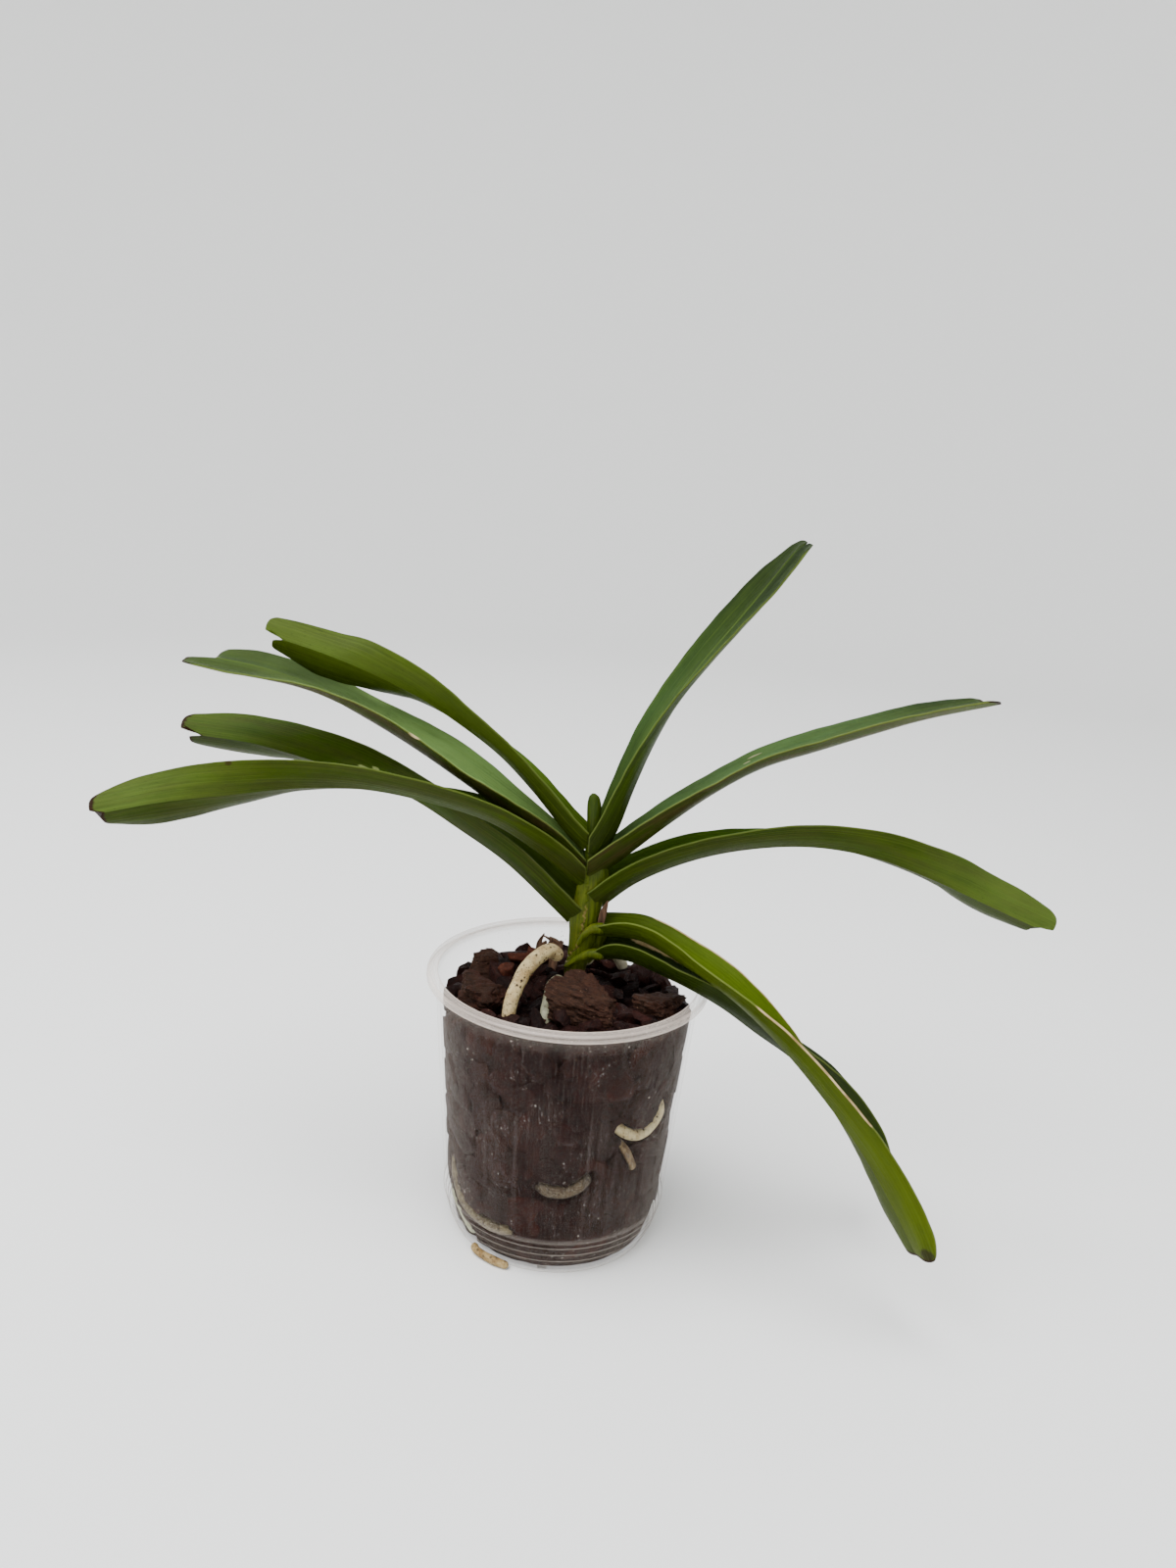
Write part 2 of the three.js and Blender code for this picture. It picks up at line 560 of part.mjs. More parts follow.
// Dead sheath scraps at the foot of the stem: thin bent strips
const DRY_SHEATHS = [
  {
    name: 'dry_sheath_right', thickness: 0.7,
    spine: [[9.1, 7.1, 102.3], [9.6, 6.9, 105], [10.3, 6.7, 107.8]], width: [1.8, 2.4, 1.2], across: [1, 0, -0.3],
  },
  {
    name: 'dry_sheath_left', thickness: 0.7,
    spine: [[-5, 9.4, 84], [-4, 9.8, 90], [-1.4, 10, 97]], width: [3.2, 3.4, 1.4], across: [0.8, -0.6, 0],
  },
];

// A thin strip with a flat cross-section along three points
function stripSolid({ spine, width, across, thickness }) {
  const side = new THREE.Vector3(...across).normalize();
  const along = new THREE.Vector3(...spine[2]).sub(new THREE.Vector3(...spine[0])).normalize();
  const out = new THREE.Vector3().crossVectors(side, along).normalize();
  const corners = spine.map((place, index) => {
    const middle = new THREE.Vector3(...place);
    return [[-1, -1], [1, -1], [1, 1], [-1, 1]].map(([wide, thick]) => middle.clone()
      .addScaledVector(side, wide * width[index] / 2)
      .addScaledVector(out, thick * thickness / 2)
      .toArray());
  });
  const lower = wasm.Manifold.hull([...corners[0], ...corners[1]]);
  return lower.add(wasm.Manifold.hull([...corners[1], ...corners[2]]));
}

const LEAF_COLOURS = [0x55702a, 0x5f7a2c, 0x4c7a4a, 0x54722e];

function build() {
  const group = new THREE.Group();
  const leafSolids = LEAVES.map((leaf) => bladeSolid(leaf));
  const grownLeaves = wasm.Manifold.union(LEAVES.map((leaf) => bladeSolid(leaf, GAP)));
  const stem = largestPart(stemSolid().subtract(grownLeaves));
  const roots = [
    ...ROOTS,
    ...WALL_ROOTS.map((root) => ({ ...root, path: wallRootPath(root) })),
    EXIT_ROOT,
  ];
  const rootHoles = roots.map((root) => rootSolid(root, GAP));
  const stemHole = stemSolid(GAP);

  group.add(makePot());
  group.add(makeBark([stemHole, ...rootHoles]));
  for (const chip of LOOSE_CHIPS) {
    let solid = chipSolid(chip).subtract(stemHole);
    for (const hole of rootHoles) solid = solid.subtract(hole);
    group.add(toMesh(chip.name, largestPart(solid), material(0x563a30, 0.9)));
  }
  group.add(toMesh('stem', stem, material(0x53691f, 0.6)));
  for (const root of roots) {
    const solid = rootSolid(root).subtract(stemHole);
    group.add(toMesh(root.name, largestPart(solid), material(0xd8d0b0, 0.8)));
  }
  LEAVES.forEach((leaf, index) => {
    group.add(toMesh(leaf.name, leafSolids[index], material(LEAF_COLOURS[index % LEAF_COLOURS.length], 0.45)));
  });
  group.add(toMesh('leaf_young', youngLeafSolid(), material(0x4a6a22, 0.5)));
  for (const strip of DRY_SHEATHS) {
    group.add(toMesh(strip.name, stripSolid(strip), material(0x4a3020, 0.9)));
  }
  return group;
}

export default build();
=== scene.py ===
"""A young strap-leaved orchid in bark in a translucent nursery pot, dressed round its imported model.

Sizes are in millimetres and are turned into metres where a mesh is made. +Z is up and -Y is the front.
"""
import math
import random

import bmesh
import bpy
import numpy as np
from mathutils import Matrix, Vector, noise


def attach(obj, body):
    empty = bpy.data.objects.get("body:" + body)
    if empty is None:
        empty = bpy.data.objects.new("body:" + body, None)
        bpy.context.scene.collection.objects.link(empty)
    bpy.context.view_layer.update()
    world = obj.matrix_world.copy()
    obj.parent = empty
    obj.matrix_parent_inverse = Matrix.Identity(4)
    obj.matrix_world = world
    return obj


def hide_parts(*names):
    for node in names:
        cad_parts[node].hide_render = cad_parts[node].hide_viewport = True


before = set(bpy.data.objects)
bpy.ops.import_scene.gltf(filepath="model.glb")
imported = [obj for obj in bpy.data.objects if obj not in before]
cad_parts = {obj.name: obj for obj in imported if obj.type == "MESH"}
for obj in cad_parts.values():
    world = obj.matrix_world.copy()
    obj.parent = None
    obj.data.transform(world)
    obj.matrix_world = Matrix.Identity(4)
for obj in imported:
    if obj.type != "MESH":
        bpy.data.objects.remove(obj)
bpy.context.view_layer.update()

MM = 0.001
FRONT = np.array([0.0, -1.0, 0.0])

# The camera that the photograph was taken with
CAMERA_PLACE = (1.65, -346.8, 246.0)
CAMERA_FORWARD = (0.0, 0.96376, -0.26676)
CAMERA_ROLL = 4.323
CAMERA_LENS = 27.045
SENSOR_WIDTH = 36.0

# The pot, as in the model
POT_HEIGHT = 88.0
LIP_RADIUS = 45.0
LIP_HEIGHT = 2.6
LIP_INNER_RADIUS = 41.4
WALL_TOP_RADIUS = 42.2
WALL_LOW_RADIUS = 36.6
WALL_LOW_HEIGHT = 13.0
FOOT_RADIUS = 33.0
WALL_THICKNESS = 1.0
FLOOR_THICKNESS = 1.6
POT_SEGMENTS = 224
# The wall is a little milkier close under the lip: how much, and from what height
UPPER_MILK = 0.12
UPPER_MILK_START = 80.0
NOTCH_ANGLES = (-134, -28, 28, 90, 152)
NOTCH_WIDTH = 11.0
NOTCH_HEIGHT = 5.0
NOTCH_DEPTH = 5.0
# A notch's torn edge: shares of its half width and of its height
NOTCH_EDGE = ((1.0, 0.32), (0.86, 0.59), (0.62, 0.69), (0.5, 0.95), (0.2, 0.87), (-0.05, 0.97), (-0.3, 0.77),
              (-0.5, 0.87), (-0.66, 0.57), (-0.8, 0.52), (-0.95, 0.27))
RING_HEIGHTS = (3.8, 6.0, 8.8, 11.6)
RING_RISE = 0.5
# Over a ring: height from its middle, share of its rise, and how milky
RING_OUTLINE = ((-0.9, 0, 0), (-0.4, 0.4, 0), (-0.1, 1, 1.3), (0.12, 0.9, 0), (0.5, 0.2, 0), (0.8, 0, 0))
# Over the lip: how far in from its edge, how far below its top, and how milky
LIP_OUTLINE = (
    (2.7, 2.6, 0.5), (0.5, 2.48, 1.1), (0.1, 2.2, 1.6), (0, 1.6, 0.5), (0, 0.8, 0.5), (0.25, 0.25, 1.1),
    (0.7, 0, 1), (1.05, 0, 0.6), (1.25, 0.22, 0.5), (1.5, 0.22, 0.5), (1.7, 0.02, 0.8), (2.3, 0.02, 0.55),
    (2.5, 0.2, 0.5), (2.75, 0.2, 0.5), (2.95, 0, 0.8), (3.3, 0, 1.2), (3.55, 0.25, 1.4), (3.6, 0.7, 0.7),
    (3.8, 3.2, 0.12))

# How far the plant stands behind the pot's middle, the upright plane that no blade crosses, how far a blade
# stays off it, and the least room that a blade is given there
PLANT_DEPTH = 9.0
PLANT_MIDDLE = 3.2
MIDDLE_CLEARANCE = 0.25
LEAST_ROOM = 0.6

# The leaf blades, as in the model
LEAF_HALF_WIDTH = 10.5
LEAF_BASE_HALF_WIDTH = 8.4
LEAF_WIDENING_LENGTH = 60.0
LEAF_CLASP_LENGTH = 45.0
LEAF_TAPER_LENGTH = 18.0
LEAF_KEEL_THICKNESS = 1.7
LEAF_EDGE_THICKNESS = 0.75
LEAF_HALF_BULGE = 0.7
# The tip: where it starts, how it narrows, thins and rounds
LEAF_TIP_LENGTH = 13.0
LEAF_TIP_NARROWING = 0.22
LEAF_TIP_THINNING = 1.6
LEAF_TIP_ROUNDING = 4.4
LEAF_NOTCH_ROUNDING = 1.0
LEAF_MARGIN_ROUNDING = 0.42
# Slow waves of a half's width, as a share of it, and of its depth: how high they are and how many
LEAF_WIDTH_WAVES = (0.012, 9)
LEAF_DEPTH_WAVES = (0.22, 13)
# Where a leaf says nothing else: how pale the near underside is painted towards the tip (painted light), and
# how dark the far one is painted (painted shade)
LEAF_TIP_PAINTED_LIGHT = 0.13
LEAF_FAR_PAINTED_SHADE = 0.42
LEAF_RINGS = 150
# Shares of a half blade's width, close together at the keel and at the margin
HALF_SECTIONS = np.array([0, 0.03, 0.07, 0.12, 0.18, 0.25, 0.37, 0.5,
                          0.62, 0.74, 0.84, 0.91, 0.96, 0.985, 1.0])

# Where each blade's keel runs, how far each half stands off the fold's middle, and how far it is rolled.
# A lobe is how far a half's tip reaches past the keel's. A clasp or taper is what a half is wider by at its
# foot, round is how round its lobe is, and width is its share of the usual width.
# Dried margins: the half, where they start and end along the blade, and how wide they are. A brown tip
# reaches in this far. Scars: how far along and across (negative on the far half), half sizes, whether on
# the upper side, and the colour.
LEAVES = [
    dict(name="leaf_left_1", side=-1, near_lobe=7, far_lobe=4, far_clasp=5, tip_painted_light=0.05, brown_tip=0.7,
         keel=[(-1.6, 9.2, 100.5), (-9.5, 10.7, 107.2), (-23.3, 13.9, 117.9), (-39, 17.5, 126.6),
               (-55, 20.5, 134.8), (-72.4, 22, 140.7), (-90.3, 23.5, 144.8), (-108.3, 25, 148.2),
               (-126.5, 26.5, 149.3)],
         fold=[36, 40, 40, 47, 54, 52, 46, 43, 41], roll=[8, 9, 9, 15, 30, 48, 65, 83, 89],
         upper="#263803", under="#263901", flush=0.25, margin=0.5,
         scars=[(82, 3.4, 3.0, 0.9, 0, "#8a9458"), (79, 5.0, 1.6, 0.6, 0, "#8a9458")]),
    dict(name="leaf_left_2", side=-1, near_lobe=3.5, far_lobe=0.5, tip_painted_light=0.12, brown_tip=1.1,
         keel=[(1.6, 8.6, 112.6), (-10.3, 7.2, 122.6), (-27.2, 4.2, 133.6), (-46.5, 1.6, 139.6),
               (-66.5, 0.5, 142.6), (-86.8, -0.5, 141.8), (-106.9, -2, 138.6), (-127, -3.5, 135.2),
               (-146.7, -4.8, 130.3)],
         fold=[38, 40, 50, 60, 66, 64, 59, 53, 42], roll=[8, 10, 10, 19, 30, 42, 64, 88, 92],
         upper="#2f4405", under="#2c3a02", flush=0.2, margin=0.5,
         scars=[(117, 10.0, 1.4, 0.9, 0, "#2a1c0c")]),
    dict(name="leaf_left_3", side=-1, near_lobe=6.5, far_lobe=-1, far_round=1.4, near_clasp=-4, far_clasp=-3,
         keel=[(1.4, 9, 118.9), (-9.5, 9.2, 127), (-24, 9.5, 136), (-38, 9.8, 145), (-52.6, 10.1, 154),
               (-68, 10.4, 162.4), (-84, 10.7, 169.8), (-101, 11.1, 174.6), (-118, 11.4, 177.1)],
         fold=[30, 30, 36, 42, 52, 61, 69, 78, 84], roll=[2, -2, -10, -18, -6, 2, -2, -10, -9],
         # The upper colour is lifted paler and greyer: a painted sheen of the sky
         upper="#69874b", under="#2a3106", flush=0.75, margin=0.7, brown_tip=0.5,
         dried=[("near", 62, 74, 0.7), ("near", 88, 96, 0.5)]),
    dict(name="leaf_left_4", side=-1, near_lobe=5.5, far_lobe=2.5, near_round=3, near_width=0.86,
         tip_painted_light=0.05, far_painted_shade=0.14,
         keel=[(1.1, 9, 125.4), (-5.8, 9, 132.6), (-15.6, 9, 143.8), (-26.4, 9, 154.3), (-39, 9, 163.2),
               (-52, 9, 170.8), (-66, 9, 177), (-80.4, 9, 182), (-95.2, 9, 185.9)],
         fold=[35, 45, 54, 62, 64, 63, 65, 52, 46], roll=[5, 7, 9, 16, 25, 45, 67, 94, 88],
         upper="#384d11", under="#37450e", flush=0.1, margin=0.5),
    dict(name="leaf_right_1", side=1, near_lobe=2, far_lobe=3, near_taper=-6, tip_painted_light=0.0,
         keel=[(7.2, 7.4, 88.8), (17, 2.2, 91.9), (31.6, -7.3, 90.8), (46, -16.6, 87.7), (59.8, -13, 77.2),
               (73.1, -7.3, 66.4), (86.3, -5.1, 55.1), (97.4, -4.2, 41.5), (105, -4, 28)],
         fold=[42, 48, 54, 60, 59, 60, 54, 52, 60], roll=[10, 12, 13, 15, 16, 16, 12, 8, 8],
         # Its colours are kept very dark as painted shade, for the shade that leaf_right_2 casts on it
         upper="#0b1b00", under="#112000", flush=0.05, margin=0.7, slot="leaf_light",
         dried=[("far", 8, 52, 2.2)]),
    dict(name="leaf_right_2", side=1, near_lobe=-0.5, far_lobe=0, near_round=2, near_taper=-5, tip_painted_light=0.0,
         keel=[(7.4, 7, 97.6), (21.6, -2.2, 100.8), (35.7, -14.9, 98.5), (49.5, -27.5, 94.4),
               (63.3, -36.6, 85.3), (76.5, -41.8, 72.5), (88.7, -44.7, 58.1), (99.4, -46.9, 42.4),
               (108.8, -47.8, 26.6)],
         fold=[42, 45, 49, 60, 62, 67, 72, 76, 82], roll=[10, 8, 4, 3, 9, 19, 29, 34, 27],
         upper="#3a4a00", under="#424f00", flush=0.0, margin=0.8, brown_tip=1.3, slot="leaf_light",
         dried=[("far", 14, 84, 0.7), ("near", 60, 110, 0.25)],
         scars=[(147.5, 6.0, 2.6, 2.6, 0, "#1c120a")]),
    dict(name="leaf_right_3", side=1, near_lobe=6.2, far_lobe=-0.5, far_clasp=3,
         keel=[(9, 9.1, 106.6), (20, 9.3, 116), (37, 9.7, 124.6), (55, 10, 129.7), (74.6, 10.4, 131.8),
               (94.4, 10.8, 129.7), (113.4, 11.2, 124), (131.7, 11.6, 116.9), (150, 11.9, 109.8)],
         fold=[34, 40, 45, 54, 58, 60, 54, 44, 43], roll=[6, 8, 7, 15, 26, 40, 50, 74, 77],
         upper="#37530f", under="#334308", flush=0.2, margin=0.6,
         scars=[(67, -10.0, 1.2, 0.8, 0, "#3a2a12")]),
    dict(name="leaf_right_4", side=1, near_lobe=4.2, far_lobe=2, far_round=2.2, brown_tip=0.9,
         keel=[(5.6, 9, 115.6), (15.6, 9, 124.6), (28, 9, 136.2), (41.2, 9, 147.3), (55.6, 9, 156.8),
               (71.8, 9, 163.5), (87.8, 9, 170), (104, 9, 176.3), (120.4, 9, 181.3)],
         fold=[34, 42, 53, 65, 66, 64, 67, 72, 78], roll=[4, 6, 5, 5, 5, 3, 5, 5, 8],
         # The upper colour is lifted towards grey-blue: a painted sheen of the sky
         upper="#4a663b", under="#2e3a0c", flush=0.6, margin=0.8,
         scars=[(64, -7.4, 2.6, 0.3, 1, "#a8a07c"), (61, -5.8, 1.4, 0.3, 1, "#a8a07c")]),
    dict(name="leaf_right_5", side=1, near_lobe=2.5, far_lobe=2.5, near_round=3, far_round=2.4,
         keel=[(8.2, 9, 123.8), (12.2, 9, 133.2), (16.3, 9, 147.2), (21.1, 9, 161.3), (27.2, 9, 174.9),
               (34.9, 9, 187.7), (43.5, 9, 199.9), (51.9, 9, 212.2), (60, 9, 224.4)],
         fold=[32, 38, 49, 57, 65, 69, 70, 77, 86], roll=[2, 1, -3, -6, -8, -11, -14, -13, -5],
         # The upper colour is lifted towards grey-blue: a painted sheen of the sky
         upper="#2d4220", under="#273a0b", flush=0.1, margin=0.6),
]

# Roots as tubes: the radius and the path, as in the model, then two colours and how strong the specks are
ROOTS = [
    ("root_arch", 2.4, [(-2.9, 5.2, 89.6), (-6.2, 3, 92.9), (-10, -1.6, 92.4), (-13.4, -6, 89.8),
                        (-15.4, -10.6, 86.6), (-17, -14.6, 82.6), (-17.6, -17.4, 76.5)],
     ("#b2a074", "#8c744a", 1.0)),
    ("root_back", 2.1, [(-2, 3.4, 83.4), (-4.6, -0.6, 82.6), (-5.4, -5, 80.6), (-6, -9.6, 77.6),
                        (-6.4, -12.6, 72.4)], ("#8d8d76", "#6a6750", 0.6)),
    ("root_right", 2.1, [(4.6, 14.6, 84), (7.4, 16.4, 87.2), (11.6, 19.2, 87.6), (15.6, 22, 85),
                         (18.6, 24.2, 79)], ("#b9b49d", "#8f8467", 0.5)),
    ("root_exit", 1.3, [(-23.8, -24.4, 2.2), (-22.5, -26.6, 1.7), (-20.1, -28.5, 1.5), (-16.5, -30.75, 1.45),
                        (-11.8, -32.85, 1.4)], ("#a8905f", "#775c33", 0.7)),
]
# Roots against the inside of the wall: compass angle and height at each turn, and the stretch that shows
WALL_ROOTS = [
    ("root_wall_right", 1.9, [(-62, 53), (-54, 49), (-45, 46.6), (-37, 47.2), (-30, 51), (-26, 57)],
     (0.1, 0.92), ("#beb189", "#94825a", 0.9)),
    ("root_wall_front", 2.0, [(-108, 40), (-102, 34.5), (-94, 31.2), (-85, 30.2), (-77, 32), (-71.5, 36)],
     (0.36, 1.2), ("#3f311f", "#20170e", 1.0)),
    ("root_wall_left", 2.0, [(-163, 58), (-163, 45), (-161, 33), (-157, 22), (-148, 14.2), (-134, 12.2),
                             (-118, 12), (-102, 13)], (0.3, 0.9), ("#5e543c", "#3c3222", 0.8)),
    ("root_exit_inner", 1.5, [(-168, 18), (-162, 12), (-154, 7.6), (-145, 4.8), (-139, 3.6)], (0.02, 1.2),
     ("#a9ad90", "#7f8266", 0.3)),
    ("root_wall_right_end", 1.3, [(-57, 46), (-54, 43.5), (-50, 39.5), (-47, 36), (-44, 33)], (0.15, 0.85),
     ("#75603e", "#4d3a25", 0.6)),
]
# Roots that stand for part of another root's node
PART_OF = {"root_exit_inner": "root_exit", "root_wall_right_end": "root_wall_right"}
WALL_ROOT_GAP = 0.65
COVERED_DEPTH = 3.4
ROOT_SIDES = 28
ROOT_STEPS_PER_MM = 2.2

# Bark: where its surface lies, how far chips stay off the wall and the floor, and the wall's usual radius
BARK_LEVEL = 76.0
CHIP_WALL_GAP = 0.35
CHIP_FLOOR_GAP = 0.4
MEAN_WALL_RADIUS = 38.0
# The room that chips leave for a root at the wall: behind it, beside it, and over what distance it fades
ROOT_ROOM_BEHIND = 0.6
ROOT_ROOM_BESIDE = 0.8
ROOT_ROOM_FADE = 1.2
# The heart of the filling: heights, and how far inside the wall it stays there
CORE_RIM = ((1.9, 0.3), (4.0, 0.35), (8.0, 0.4), (14.0, 0.6), (24.0, 1.2), (66.0, 1.5), (73.0, 1.5))
CORE_TOP = ((20.0, 75.0), (0.0, 75.5))
CORE_GAP = 0.15
CORE_SEGMENTS = 120
CORE_STEP = 1.6
CORE_SIDE_LUMPS = 0.02
CORE_TOP_LUMPS = 1.2
CORE_LUMPS_FROM = 20.0
SIDE_CHIP_ROWS = 11
SIDE_CHIPS_LOW = 4.0
SIDE_CHIPS_HIGH = 73.5
SIDE_CHIP_SPACING = 1.72
# Each chip at the wall is pressed in by one of these steps more, so that no two faces share a place
CHIP_DEPTH_STEP = 0.1
CHIP_DEPTH_STEPS = 11
TOP_CHIPS = 96
GOLDEN_ANGLE = 2.39996
# A chip's skin: how far each noise lifts it, its scale along each axis, and its roughness, gap and octaves
CHIP_LUMPS = (0.11, (0.16, 0.16, 0.3), (0.8, 2.1, 3))
CHIP_LAYERS = (0.07, (0.12, 0.45, 1.1), (0.6, 2.2, 3))
CHIP_FURROWS = (0.10, (0.1, 0.6, 0.9), (0.7, 2.1, 4))
# The crack along the top of the front chip
CRACK_DEPTH = 0.2
CRACK_WIDTH = 0.55
CRACK_PLACE = -3.2
CRACK_HALF_LENGTH = 9.0

# The large chips on top: centre, half sizes, turn and lean in degrees, seed, and how light and how red
LOOSE_CHIPS = [
    ("chip_front", (5.7, -9, 80.6), (13.5, 9.5, 5), -12, 16, 3, 0.78, 0.3),
    ("chip_left", (-26.5, -6, 79.6), (8.6, 8, 6), 25, 8, 8, 0.5, 0.9),
    ("chip_back_left", (-27.5, 15.5, 80), (5.6, 6, 6.4), 10, -6, 5, 0.78, 0.3),
    ("chip_right", (28.6, -5, 79), (7.4, 8.6, 5.6), -30, -10, 9, 0.78, 0.3),
]
# Small chips that stand up behind the arching root: centre, half sizes, turn and lean in degrees
SMALL_CHIPS = [
    ((-17.0, 18.5, 82.5), (3.4, 1.8, 3.0), 20, 38), ((-12.5, 20.0, 83.0), (2.6, 1.6, 3.4), -35, -30),
    ((-20.5, 11.0, 81.5), (3.6, 2.4, 2.0), 60, 20), ((-14.5, 8.0, 81.5), (3.2, 2.0, 1.6), -10, 15),
    ((-8.0, 20.5, 82.5), (3.0, 1.6, 2.6), 5, 35),
]

# The stem and the young leaf as ovals: across, height, half width and half depth
STEM_LEVELS = (
    (2.2, 68, 2.4, 2.8), (1.9, 85, 2.7, 3.1), (2.9, 91, 3.35, 3.1), (3.7, 97, 4.15, 3.1),
    (3.8, 103, 4.55, 3.1), (5.1, 110, 4.7, 2.6), (6.0, 116, 4.85, 2.15), (6.2, 121, 3.5, 1.7),
    (3.8, 129, 1.35, 1.4))
YOUNG_LEVELS = ((4.0, 129.4, 1.4, 1.2), (4.3, 136, 2.15, 1.4), (4.1, 141, 2.2, 1.2), (3.9, 143.6, 1.6, 0.8),
                (3.7, 144.6, 0.6, 0.4))
# Where one sheath ends over the next on the stem's front: across by height, and height by across
LEFT_SHEATH_EDGE = ((80, -2.2), (88.8, -0.9), (93, 1.9), (97, 3.2), (110, 4.4), (118, 4.0))
RIGHT_SHEATH_EDGE = ((-4, 94), (3.2, 97), (9, 103))
LOW_SHEATH_EDGE = ((-3, 86.5), (4, 90.5), (9, 93.5))
SHEATH_STEP = 0.45
# Where the feet of the lowest right leaves clasp the stem's front, and their radius at the start and the end
CLASPS = [
    ([(-1.6, 5.5, 86.4), (2.4, 5.0, 89.9), (6.4, 4.5, 92.2), (11, 3.4, 92.6)], 0.7, 2.0),
    ([(2.2, 5.5, 94.2), (3.9, 5.1, 97.8), (6.8, 4.6, 100.8), (11, 3.6, 101.6)], 0.7, 2.1),
    ([(5.0, 9.4, 87.0), (7.4, 9.2, 91.0), (9.0, 9.0, 95.0), (9.8, 8.6, 99.0)], 1.5, 2.0),
]
SHREDS = 6
SCRAP_STEPS = 24
SCRAP_POINTS = 7

# The floor and the wall far behind it
FLOOR_RADIUS = 1200.0
FLOOR_BEND = 700.0
FLOOR_BEND_STEPS = 12
BACKDROP_HEIGHT = 2200.0
FLOOR_SIDES = 128


def linear(hex_colour):
    """A colour written as #rrggbb, as the shader's own numbers."""
    parts = [int(hex_colour[i:i + 2], 16) / 255 for i in (1, 3, 5)]
    return tuple(p / 12.92 if p <= 0.04045 else ((p + 0.055) / 1.055) ** 2.4 for p in parts) + (1.0,)


def smooth_step(share):
    t = np.clip(share, 0, 1)
    return t * t * (3 - 2 * t)


def unit(vectors):
    return vectors / np.maximum(np.linalg.norm(vectors, axis=-1, keepdims=True), 1e-9)


# Curves

def spline(points, shares):
    """Places and tangents on a smooth curve through the points, at shares of its spans."""
    points = np.array(points, float)
    padded = np.vstack([2 * points[0] - points[1], points, 2 * points[-1] - points[-2]])
    spans = len(points) - 1
    place = np.clip(shares, 0, 1) * spans
    span = np.minimum(place.astype(int), spans - 1)
    t = (place - span)[:, None]
    p0, p1, p2, p3 = (padded[span + k] for k in range(4))
    d0, d1, d2 = (np.sqrt(np.maximum(np.linalg.norm(b - a, axis=1), 1e-9))[:, None]
                  for a, b in ((p0, p1), (p1, p2), (p2, p3)))
    m1 = ((p1 - p0) / d0 - (p2 - p0) / (d0 + d1) + (p2 - p1) / d1) * d1
    m2 = ((p2 - p1) / d1 - (p3 - p1) / (d1 + d2) + (p3 - p2) / d2) * d1
    c2 = -3 * p1 + 3 * p2 - 2 * m1 - m2
    c3 = 2 * p1 - 2 * p2 + m1 + m2
    return p1 + m1 * t + c2 * t ** 2 + c3 * t ** 3, unit(m1 + 2 * c2 * t + 3 * c3 * t ** 2)


def eased(values, shares):
    """Reads a list of settings along a blade without corners."""
    values = np.array(values, float)
    slopes = np.gradient(values)
    place = np.clip(shares, 0, 1) * (len(values) - 1)
    low = np.minimum(place.astype(int), len(values) - 2)
    t = place - low
    a, b, ma, mb = values[low], values[low + 1], slopes[low], slopes[low + 1]
    return (a * (2 * t ** 3 - 3 * t ** 2 + 1) + ma * (t ** 3 - 2 * t ** 2 + t)
            + b * (3 * t ** 2 - 2 * t ** 3) + mb * (t ** 3 - t ** 2))


def lengths_along(places):
    """How far each place lies from the first one, along the line through them."""
    return np.concatenate([[0], np.cumsum(np.linalg.norm(np.diff(places, axis=0), axis=1))])


def ripple(shares, seed, waves):
    """A slow irregular wave between about -1 and 1."""
    rng = random.Random(seed)
    total = np.zeros_like(shares)
    for step in range(1, 5):
        total += math.cos(step) * np.sin(shares * waves * step * 2.1 + rng.uniform(0, 6.28)) / step
    return total / 1.6


# Shapes and pieces

def circle(sides):
    """The cosine and sine of each even turn round a circle."""
    turns = [2 * math.pi * i / sides for i in range(sides)]
    return [(math.cos(turn), math.sin(turn)) for turn in turns]


def ring_quads(rings, around, first=0):
    """Quads between rings of points that close on themselves."""
    quads = []
    for low in range(first, first + (rings - 1) * around, around):
        for i in range(around):
            j = (i + 1) % around
            quads.append((low + i, low + j, low + around + j, low + around + i))
    return quads


def loop_faces(rings, around, flip=False):
    """Quads between rings of points, with both ends capped."""
    faces = ring_quads(rings, around)
    faces.append(tuple(reversed(range(around))))
    faces.append(tuple((rings - 1) * around + i for i in range(around)))
    return [tuple(reversed(face)) for face in faces] if flip else faces


def turned(outline, sides):
    """A closed body of revolution whose outline of (radius, height) starts and ends on the axis."""
    inner, ring = outline[1:-1], circle(sides)
    places = [(radius * x, radius * y, height) for radius, height in inner for x, y in ring]
    faces = ring_quads(len(inner), sides)
    bottom, top = len(places), len(places) + 1
    places += [(0, 0, outline[0][1]), (0, 0, outline[-1][1])]
    last = (len(inner) - 1) * sides
    for i in range(sides):
        j = (i + 1) % sides
        faces += [(bottom, j, i), (top, last + i, last + j)]
    return places, faces


def turned_by(places, turn, lean, tip=0.0):
    rotation = (Matrix.Rotation(math.radians(turn), 3, "Z") @ Matrix.Rotation(math.radians(tip), 3, "Y")
                @ Matrix.Rotation(math.radians(lean), 3, "X"))
    return places @ np.array(rotation).T


def add_object(name, data):
    made = bpy.data.objects.new(name, data)
    bpy.context.scene.collection.objects.link(made)
    return made


def smooth_mesh(name, places, faces, material):
    """A smooth mesh from places in millimetres."""
    mesh = bpy.data.meshes.new(name)
    mesh.from_pydata([tuple(p) for p in np.asarray(places) * MM], [], faces)
    mesh.validate()
    mesh.polygons.foreach_set("use_smooth", [True] * len(mesh.polygons))
    mesh.materials.append(material)
    return mesh


